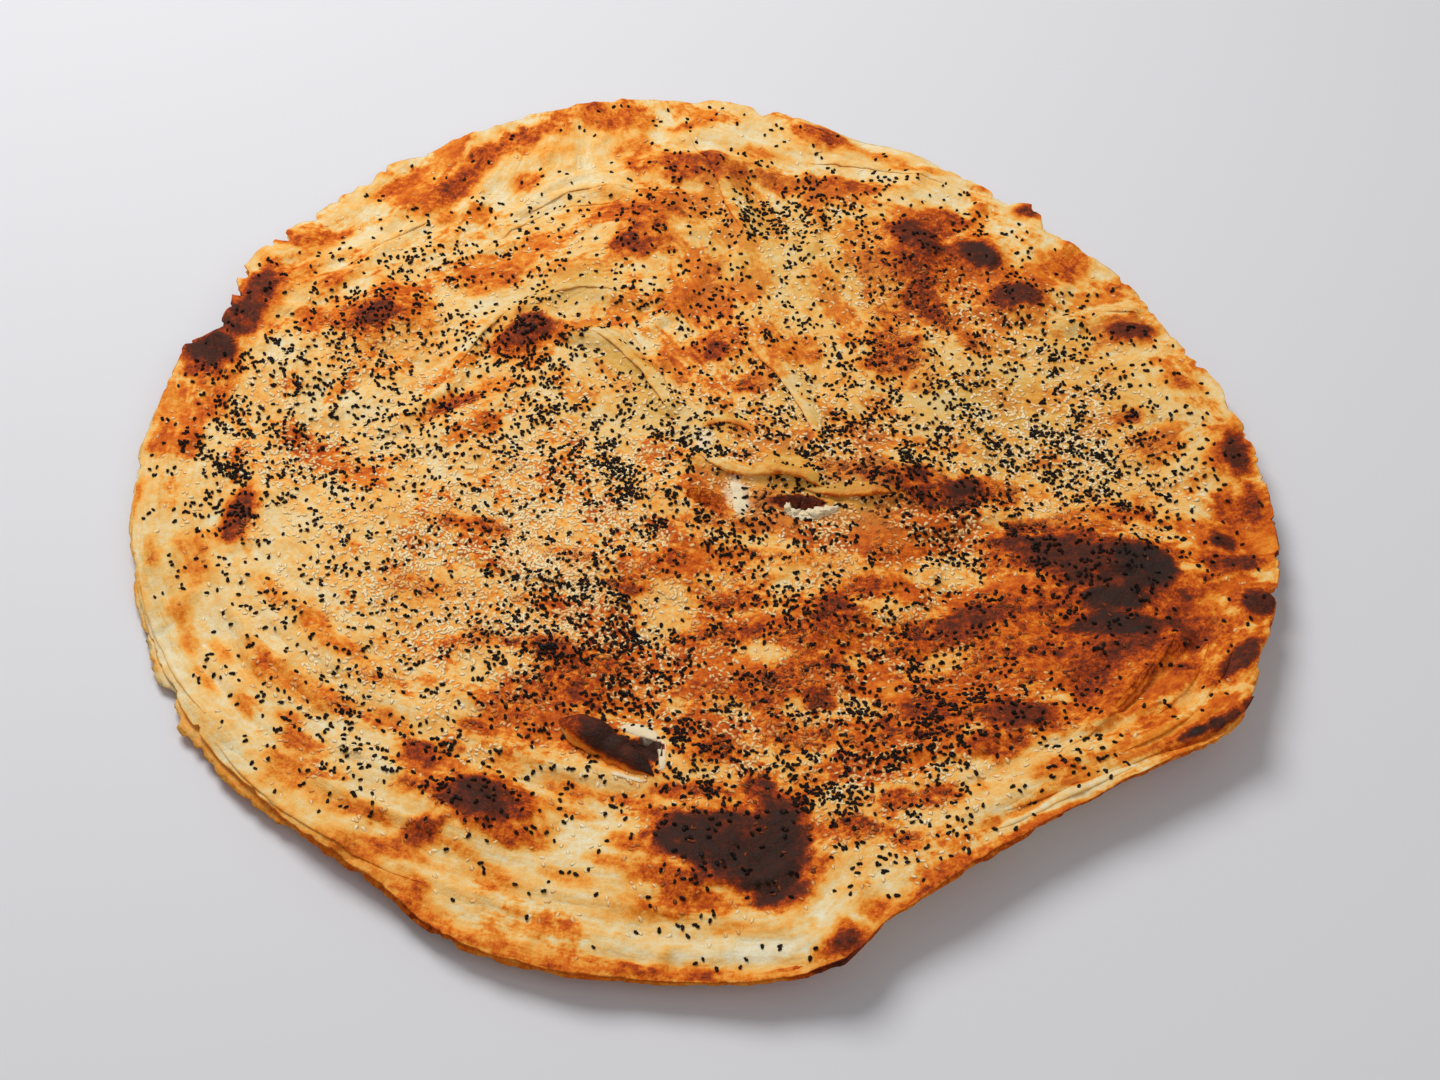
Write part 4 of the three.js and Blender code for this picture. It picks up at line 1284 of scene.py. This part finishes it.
def dress(name, parts, toast, islands, oil, crumb):
    """A dough piece with the same attributes and material as the bread."""
    points, faces = joined(parts)
    piece = new_piece(name, points, faces)
    face_mesh = bmesh.new()
    face_mesh.from_mesh(piece.data)
    bmesh.ops.recalc_face_normals(face_mesh, faces=face_mesh.faces)
    face_mesh.to_mesh(piece.data)
    face_mesh.free()
    for label, values in (("toast", toast), ("islands", islands), ("oil", oil), ("crumb", crumb)):
        paint(piece, label, np.broadcast_to(values, len(points)))
    paint_dough_run(piece, points[:, 0], points[:, 1])
    piece.data.materials.append(crust)
    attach(piece, body)
    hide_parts("flatbread")
    print(name + ":", len(faces), "faces")


parts = [sweep(lip, LIP_SECTION, (0.25, 0.25), 401 + k) for k, lip in enumerate(LIPS)]
x, y = np.concatenate([part[0] for part in parts])[:, :2].T
nose = smoothstep(0.2, 0.9, np.concatenate([part[3] for part in parts]))
lip_toast, lip_islands = crust_at(x, y)
over_tear = np.exp(-(((x - 48) / 40) ** 2) - ((y + 8) / 10) ** 2)
lip_toast = lip_toast + 0.1 * over_tear
# The lips' backs and tails take the olive tint too, so partly painted shade; their noses take none.
lip_oil_and_shade = np.clip(oil_and_shade_at(x, y) * (1 - nose), 0, 1)
dress("dough_lips", parts, np.clip(lip_toast + 0.07 * nose, 0, 1), lip_islands, lip_oil_and_shade, 0)

tube = sweep(BURST_TUBE, TUBE_SECTION, (0.22, 0.3), 451)
x, y = tube[0][:, :2].T
flank = smoothstep(0.35, 0.9, tube[3] - 0.5 * tube[2])
tube_toast = 0.94 - 0.5 * flank + 0.06 * noise(x, y, cell=5, seed=452)
tube_toast = tube_toast - 0.2 * smoothstep(-38, -54, x)
dress("burst_tube", [tube], np.clip(tube_toast, 0, 1), -1, 0.5 * flank, 0)

# Torn skin, one pale strip of painted highlight and the crumb lumps, all pale dough.
parts = [sweep(lip, LIP_SECTION, (0.2, 0.2), 461 + k) for k, lip in enumerate(TORN_SKIN_AND_HIGHLIGHT)]
parts += [lump(spot, 471 + k) for k, spot in enumerate(CRUMB_LUMPS)]
dress("torn_crumb", parts, 0.12, -1, 0, 0.65)

# %% [markdown]
# Seeds fall in little drifts, thick where the hand passed and almost absent near the rim. How
# many lie on each square metre is worked out for every point of the crust, and Geometry Nodes
# then scatter one seed shape by that density: a tree is far quicker than placing thousands of
# objects, and its fixed seed gives the same bread every time. The two lists hold soft heaps: x,
# y, reach and weight.

# %% How thickly the seeds lie
NIGELLA_COUNT = 8700
SESAME_COUNT = 11800
NIGELLA_HEAPS = [
    (-36, 4, 28, 1.6), (-25, -12, 28, 0.8), (-60, -74, 24, 1.35), (-45, -98, 28, 1.25),
    (-38, -122, 24, 0.9), (98, -122, 26, 1), (95, -158, 24, 1.1), (75, -178, 18, 1.3), (60, 4, 14, 1.4),
    (48, -188, 10, 1.8), (-33, 18, 15, 2.2), (-24, -3, 13, 1), (49, 2, 8, 1.2), (-3, -150, 8, 3.2),
    (4, -168, 9, 2.4), (13, -177, 7, 1.6), (-28, -134, 10, 1.8), (46, 180, 22, 1.4), (78, 178, 16, 0.7),
    (190, 60, 34, 0.6), (176, 32, 24, 0.7), (180, 4, 26, 0.7), (210, -15, 26, 0.7), (-225, 12, 24, 1.6),
    (-202, 22, 24, 0.3), (-215, 60, 34, 0.8), (-245, 40, 14, 1), (-205, -28, 22, 0.8),
    (-140, 0, 40, 0.4), (90, 0, 28, 1), (120, 12, 24, 0.5), (72, 38, 22, 1), (70, 72, 22, 0.7),
    (-70, 72, 26, 0.9), (-75, 40, 26, 0.5), (140, 60, 30, 0.6), (0, 30, 24, 0.7), (30, 42, 24, 0.7),
    (5, -45, 26, 0.7), (40, -40, 26, 0.7), (0, -80, 30, 0.3), (40, -75, 26, 0.5), (-140, 72, 40, 0.3),
    (-105, -175, 26, 0.6), (-135, -175, 18, 0.6), (140, -45, 30, 0.5), (30, -130, 28, 0.45),
    (60, -165, 28, 0.5), (-175, 115, 26, 0.3), (-140, 140, 24, 0.4), (140, 175, 16, 0.5),
    (70, -212, 14, 0.9), (108, -212, 16, 0.7), (145, -178, 20, 0.6), (180, -175, 18, 0.5),
    (240, 10, 18, 0.5), (-10, -250, 30, 0.3), (-242, 50, 18, 1.4), (-214, 0, 16, 1.6),
    (-180, -4, 20, 0.5), (-35, 2, 12, 0.9), (0, 4, 14, 1.2), (70, 0, 14, 0.7), (105, 2, 16, 0.8),
    (140, 8, 14, 0.8), (142, 34, 20, 0.9), (150, -60, 24, 0.5), (36, 178, 14, 0.9),
    (-72, -104, 18, 0.8), (120, -35, 26, 0.6), (202, -28, 24, 1), (70, -150, 22, 0.5),
]
SESAME_DRIFTS = [
    (-60, -10, 60, 1.2), (-60, -85, 45, 1.5), (-35, -40, 40, 1.2), (-110, -50, 45, 0.9),
    (50, 20, 55, 0.9), (150, 40, 55, 0.8), (190, 0, 40, 1.2), (50, -45, 36, 1), (-205, 25, 45, 1.2),
    (-150, 70, 50, 0.5), (100, 110, 36, 0.4), (55, 178, 36, 0.5), (95, -120, 45, 0.9),
    (205, 55, 40, 0.6), (60, -180, 36, 0.7), (20, -130, 50, 0.6), (120, -40, 40, 0.5),
    (-130, -130, 50, 0.35), (-135, -60, 45, 0.5), (140, 110, 40, 0.5), (100, -200, 24, 0.5),
]
BARE_RIM = 4
BARE_ROUND_TEARS = 1.35


def nigella_density(x, y):
    """How thickly nigella lies at each point, compared with other points."""
    from_middle = np.hypot(x, y)
    thick = heaped(NIGELLA_HEAPS, x, y, 0.5) * (1 - 0.75 * smoothstep(195, 255, from_middle))
    thick = thick * (1 - 0.6 * smoothstep(-170, -205, y) * smoothstep(10, -30, x))
    upper = smoothstep(110, 200, y) * smoothstep(40, -60, x)
    drifts = np.clip(0.75 + 1.15 * rough(x, y, cell=10, seed=174), 0.05, None)
    return thick * (1 - 0.5 * upper) * drifts


def sesame_density(x, y):
    """The same for sesame, of which little lies on char."""
    from_middle = np.hypot(x, y + 20)
    thick = heaped(SESAME_DRIFTS, x, y, 0.18) * (1 - 0.85 * smoothstep(190, 245, from_middle))
    charred = smoothstep(0.62, 0.85, crust_at(x, y)[0])
    drifts = np.clip(0.8 + 0.7 * rough(x, y, cell=15, seed=181, octaves=2), 0.1, None)
    return thick * (1 - 0.8 * charred) * drifts


def scaled_to(count, density):
    """Density for each square metre, so that about this many seeds fall on the bread in all."""
    triangles = np.array(bread_faces)
    a, b, c = (np.column_stack([bread_x, bread_y])[triangles[:, k]] for k in range(3))
    areas = 0.5 * np.abs(np.cross(b - a, c - a)) * MM * MM
    expected = (areas * density[triangles].mean(axis=1)).sum()
    return density * count / expected


on_top = (index < TOP_COUNT) & (np.hypot(bread_x, bread_y) < rim_reach(bread_turn) - BARE_RIM)
for opening in OPENINGS:
    on_top &= tear_distance(opening, bread_x, bread_y) > BARE_ROUND_TEARS
for name, count, density_at in (
    ("nigella_density", NIGELLA_COUNT, nigella_density),
    ("sesame_density", SESAME_COUNT, sesame_density),
):
    density = scaled_to(count, np.where(on_top, density_at(bread_x, bread_y), 0))
    paint(bread, name, density)
    print(name, "is at most", int(density.max()), "on a square metre")
seeded = np.where(is_side | is_under, 0, sesame_density(bread_x, bread_y))
paint(bread, "seeded", np.clip(0.8 * seeded, 0, 1))

# %% [markdown]
# Both seeds come from one tree. A low sphere is squeezed to a drop, scattered over the crust,
# tipped a little and turned at random. Each seed also keeps the toast of the crust below it and
# a random shade, because seeds brown together with the dough that they lie on. The group has
# named inputs, so the same tree makes both kinds.

# %% Scatter the seeds
TREE_INPUTS = {
    "Crust": "Geometry", "Half Length": "Float", "Half Width": "Float", "Half Height": "Float",
    "Taper": "Float", "Rise": "Float", "Tip": "Float", "Sides": "Int", "Rows": "Int",
    "Seed": "Int", "Density": "String", "Finish": "Material",
}
SIZE_SPREAD = (0.84, 1.16)
TURN_SEED = 3
SIZE_SEED = 5
SHADE_SEED = 7


def random_number(tree, low, high, seed):
    """A random number for each seed of the crust."""
    inputs = {2: low, 3: high, "Seed": seed}
    return tree.node("FunctionNodeRandomValue", {"data_type": "FLOAT"}, inputs, output=1)


def drop_shape(tree, value):
    """One seed: a ball that is stretched, flattened and narrowed towards one end."""
    ball = tree.node("GeometryNodeMeshUVSphere", {}, {
        "Segments": value["Sides"], "Rings": value["Rows"], "Radius": 1.0,
    })
    x, y, z = tree.split(tree.node("GeometryNodeInputPosition"))
    narrow = 1 - value["Taper"] * z
    drop = tree.vector(
        z * value["Half Length"], x * narrow * value["Half Width"], y * narrow * value["Half Height"],
    )
    return tree.node("GeometryNodeSetPosition", {}, {"Geometry": ball, "Position": drop})


def scatter_tree(name):
    """The tree, and the identifier of each of its inputs."""
    group = bpy.data.node_groups.new(name, "GeometryNodeTree")
    sockets = {
        label: group.interface.new_socket(label, in_out="INPUT", socket_type="NodeSocket" + kind)
        for label, kind in TREE_INPUTS.items()
    }
    group.interface.new_socket("Seeds", in_out="OUTPUT", socket_type="NodeSocketGeometry")
    tree = Tree(group)
    given = group.nodes.new("NodeGroupInput")
    value = {label: Wire(tree, given.outputs[label]) for label in sockets}
    density = tree.node("GeometryNodeInputNamedAttribute", {"data_type": "FLOAT"}, {
        "Name": value["Density"],
    })
    points = tree.node("GeometryNodeDistributePointsOnFaces", {}, {
        "Mesh": value["Crust"], "Density": density, "Seed": value["Seed"],
    })
    tip = value["Tip"]
    turn = tree.node("FunctionNodeRandomValue", {"data_type": "FLOAT_VECTOR"}, {
        0: tree.vector(0 - tip, 0 - tip, 0.0), 1: tree.vector(tip, tip, 2 * math.pi),
        "Seed": TURN_SEED,
    })
    lie = tree.node("FunctionNodeRotateRotation", {"rotation_space": "LOCAL"}, {
        0: Wire(tree, points.socket.node.outputs["Rotation"]),
        1: tree.node("FunctionNodeEulerToRotation", {}, {0: turn}),
    })
    seeds = tree.node("GeometryNodeInstanceOnPoints", {}, {
        "Points": points, "Instance": drop_shape(tree, value), "Rotation": lie,
        "Scale": random_number(tree, *SIZE_SPREAD, SIZE_SEED),
    })
    seeds = tree.node("GeometryNodeTranslateInstances", {}, {
        "Instances": seeds, "Translation": tree.vector(0.0, 0.0, value["Rise"]),
    })
    seeds = tree.node("GeometryNodeStoreNamedAttribute", {"domain": "INSTANCE"}, {
        "Geometry": seeds, "Name": "shade", "Value": random_number(tree, 0.0, 1.0, SHADE_SEED),
    })
    seeds = tree.node("GeometryNodeRealizeInstances", {}, {"Geometry": seeds})
    seeds = tree.node("GeometryNodeSetMaterial", {}, {
        "Geometry": seeds, "Material": value["Finish"],
    })
    result = group.nodes.new("NodeGroupOutput")
    tree.feed(result.inputs["Seeds"], seeds)
    return group, {label: socket.identifier for label, socket in sockets.items()}


def scatter(name, carrier_mesh, tree, identifiers, settings, smooth):
    """Runs the tree on the crust and keeps the result as a plain mesh object."""
    carrier = bpy.data.objects.new(name + "_carrier", carrier_mesh)
    bpy.context.scene.collection.objects.link(carrier)
    modifier = carrier.modifiers.new("scatter", "NODES")
    modifier.node_group = tree
    for label, value in settings.items():
        modifier[identifiers[label]] = value
    bpy.context.view_layer.update()
    evaluated = carrier.evaluated_get(bpy.context.evaluated_depsgraph_get())
    mesh = bpy.data.meshes.new_from_object(evaluated)
    bpy.data.objects.remove(carrier)
    mesh.name = name
    mesh.calc_loop_triangles()
    print(name + ":", len(mesh.loop_triangles), "triangles")
    return shown(name, mesh, smooth)


seed_tree, seed_inputs = scatter_tree("scatter_seeds")
print("inputs of the tree:", ", ".join(seed_inputs))


# %% [markdown]
# Nigella is black, dull and angular, and some seeds have a hint of brown. Sesame is cream, smooth
# and slightly shiny, and it turns gold and then brown where the crust does.

# %% Seed materials and the seeds
SESAME_STOPS = [
    (0.0, rgb(255, 242, 212)),
    (1.0, rgb(120, 60, 28)),
    (0.35, rgb(252, 224, 168)),
    (0.58, rgb(244, 190, 118)),
    (0.8, rgb(216, 128, 58)),
]
NIGELLA_SIZE = {
    "Half Length": 1.34 * MM, "Half Width": 0.82 * MM, "Half Height": 0.72 * MM, "Taper": 0.25,
    "Rise": 0.38 * MM, "Tip": 0.35, "Sides": 5, "Rows": 3, "Seed": 11,
}
SESAME_SIZE = {
    "Half Length": 1.42 * MM, "Half Width": 0.88 * MM, "Half Height": 0.44 * MM, "Taper": 0.32,
    "Rise": 0.06 * MM, "Tip": 0.2, "Sides": 4, "Rows": 3, "Seed": 23,
}


def make_nigella():
    material, tree, surface, point = new_material("nigella")
    shade = tree.attribute("shade")
    colour = tree.mix(shade.between(0.5, 1), rgb(20, 12, 8), rgb(46, 27, 17))
    tree.feed(surface.inputs["Base Color"], colour)
    tree.feed(surface.inputs["Roughness"], 0.5 + shade * 0.25)
    tree.feed(surface.inputs["Normal"], tree.bump(0.5, 0.2 * MM, tree.noise(point, 2600, 2)))
    surface.inputs["Specular IOR Level"].default_value = 0.14
    return material


def make_sesame():
    material, tree, surface, point = new_material("sesame")
    shade = tree.attribute("shade")
    island = tree.attribute("islands").between(-0.3, 0.4)
    browned = tree.attribute("toast") * 1.25 + island * 0.15 + shade * 0.3
    colour = tree.node("ShaderNodeValToRGB", {"stops": SESAME_STOPS}, {"Fac": browned})
    tree.feed(surface.inputs["Base Color"], colour)
    surface.inputs["Roughness"].default_value = 0.5
    surface.inputs["Specular IOR Level"].default_value = 0.16
    surface.inputs["Subsurface Weight"].default_value = 0.1
    surface.inputs["Subsurface Radius"].default_value = (0.002, 0.001, 0.0006)
    return material


nigella = scatter("nigella_seeds", bread.data, seed_tree, seed_inputs, {
    **NIGELLA_SIZE, "Density": "nigella_density", "Finish": make_nigella(),
}, smooth=False)
sesame = scatter("sesame_seeds", bread.data, seed_tree, seed_inputs, {
    **SESAME_SIZE, "Density": "sesame_density", "Finish": make_sesame(),
}, smooth=True)
for seeds, slot in ((nigella, "nigella"), (sesame, "sesame")):
    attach(seeds, body)
    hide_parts("flatbread")

# %% [markdown]
# A plain pale floor, one broad soft light above and a little behind the bread, and a weaker one
# from the front give the even daylight of a bright room. The floor lies a hair below the bread,
# because two faces in the same plane would flicker.

# %% Floor and lights
FLOOR_RADIUS = 6
FLOOR_GAP = 0.4 * MM
LIGHTS = [
    ("key_light", (-0.55, 0.85, 1.45), 1.0, 24, (1, 0.985, 0.965)),
    ("fill_light", (0.9, -1.1, 1.5), 1.6, 6, (1, 0.985, 0.97)),
]
SKY = rgb(238, 237, 238)
SKY_STRENGTH = 0.3

bpy.ops.mesh.primitive_circle_add(vertices=64, radius=FLOOR_RADIUS, fill_type="NGON")
floor = bpy.context.object
floor.name = "floor"
floor.location.z = cad_box[0][2] - FLOOR_GAP
floor_material, _, floor_surface, _ = new_material("floor")
floor_surface.inputs["Base Color"].default_value = rgb(222, 223, 228)
floor_surface.inputs["Roughness"].default_value = 0.9
floor.data.materials.append(floor_material)


def soft_light(name, place, size, power, tint):
    """A round area light, aimed at the bread."""
    data = bpy.data.lights.new(name, "AREA")
    data.shape = "DISK"
    data.size = size
    data.energy = power
    data.color = tint
    light = bpy.data.objects.new(name, data)
    light.location = place
    light.rotation_euler = (-Vector(place)).to_track_quat("-Z", "Y").to_euler()
    bpy.context.scene.collection.objects.link(light)


for light in LIGHTS:
    soft_light(*light)
world = bpy.data.worlds.new("daylight")
world.use_nodes = True
sky = world.node_tree.nodes["Background"]
sky.inputs["Color"].default_value = SKY
sky.inputs["Strength"].default_value = SKY_STRENGTH
bpy.context.scene.world = world
bpy.context.scene.view_settings.view_transform = "Standard"
print("lights:", ", ".join(light[0] for light in LIGHTS))

# %% [markdown]
# The camera stands about a metre away and looks down by 50 degrees, as in the photo: found from
# how the round outline is foreshortened and how the seeds shrink towards the back.

# %% Camera
LOOK_AT = (13.5, -41.4, 8)
LOOK_DOWN = 50
AWAY = 1002.8
LENS = 55.23
SENSOR = 36

camera_data = bpy.data.cameras.new("camera")
camera_data.lens = LENS
camera_data.sensor_width = SENSOR
camera_data.dof.use_dof = False
camera = bpy.data.objects.new("camera", camera_data)
down = math.radians(LOOK_DOWN)
camera.location = Vector((
    LOOK_AT[0] - MIDDLE[0],
    LOOK_AT[1] - MIDDLE[1] - AWAY * math.cos(down),
    LOOK_AT[2] + AWAY * math.sin(down),
)) * MM
camera.rotation_euler = (math.pi / 2 - down, 0, 0)
bpy.context.scene.collection.objects.link(camera)
bpy.context.scene.camera = camera
print("the camera is at", [round(part, 3) for part in camera.location])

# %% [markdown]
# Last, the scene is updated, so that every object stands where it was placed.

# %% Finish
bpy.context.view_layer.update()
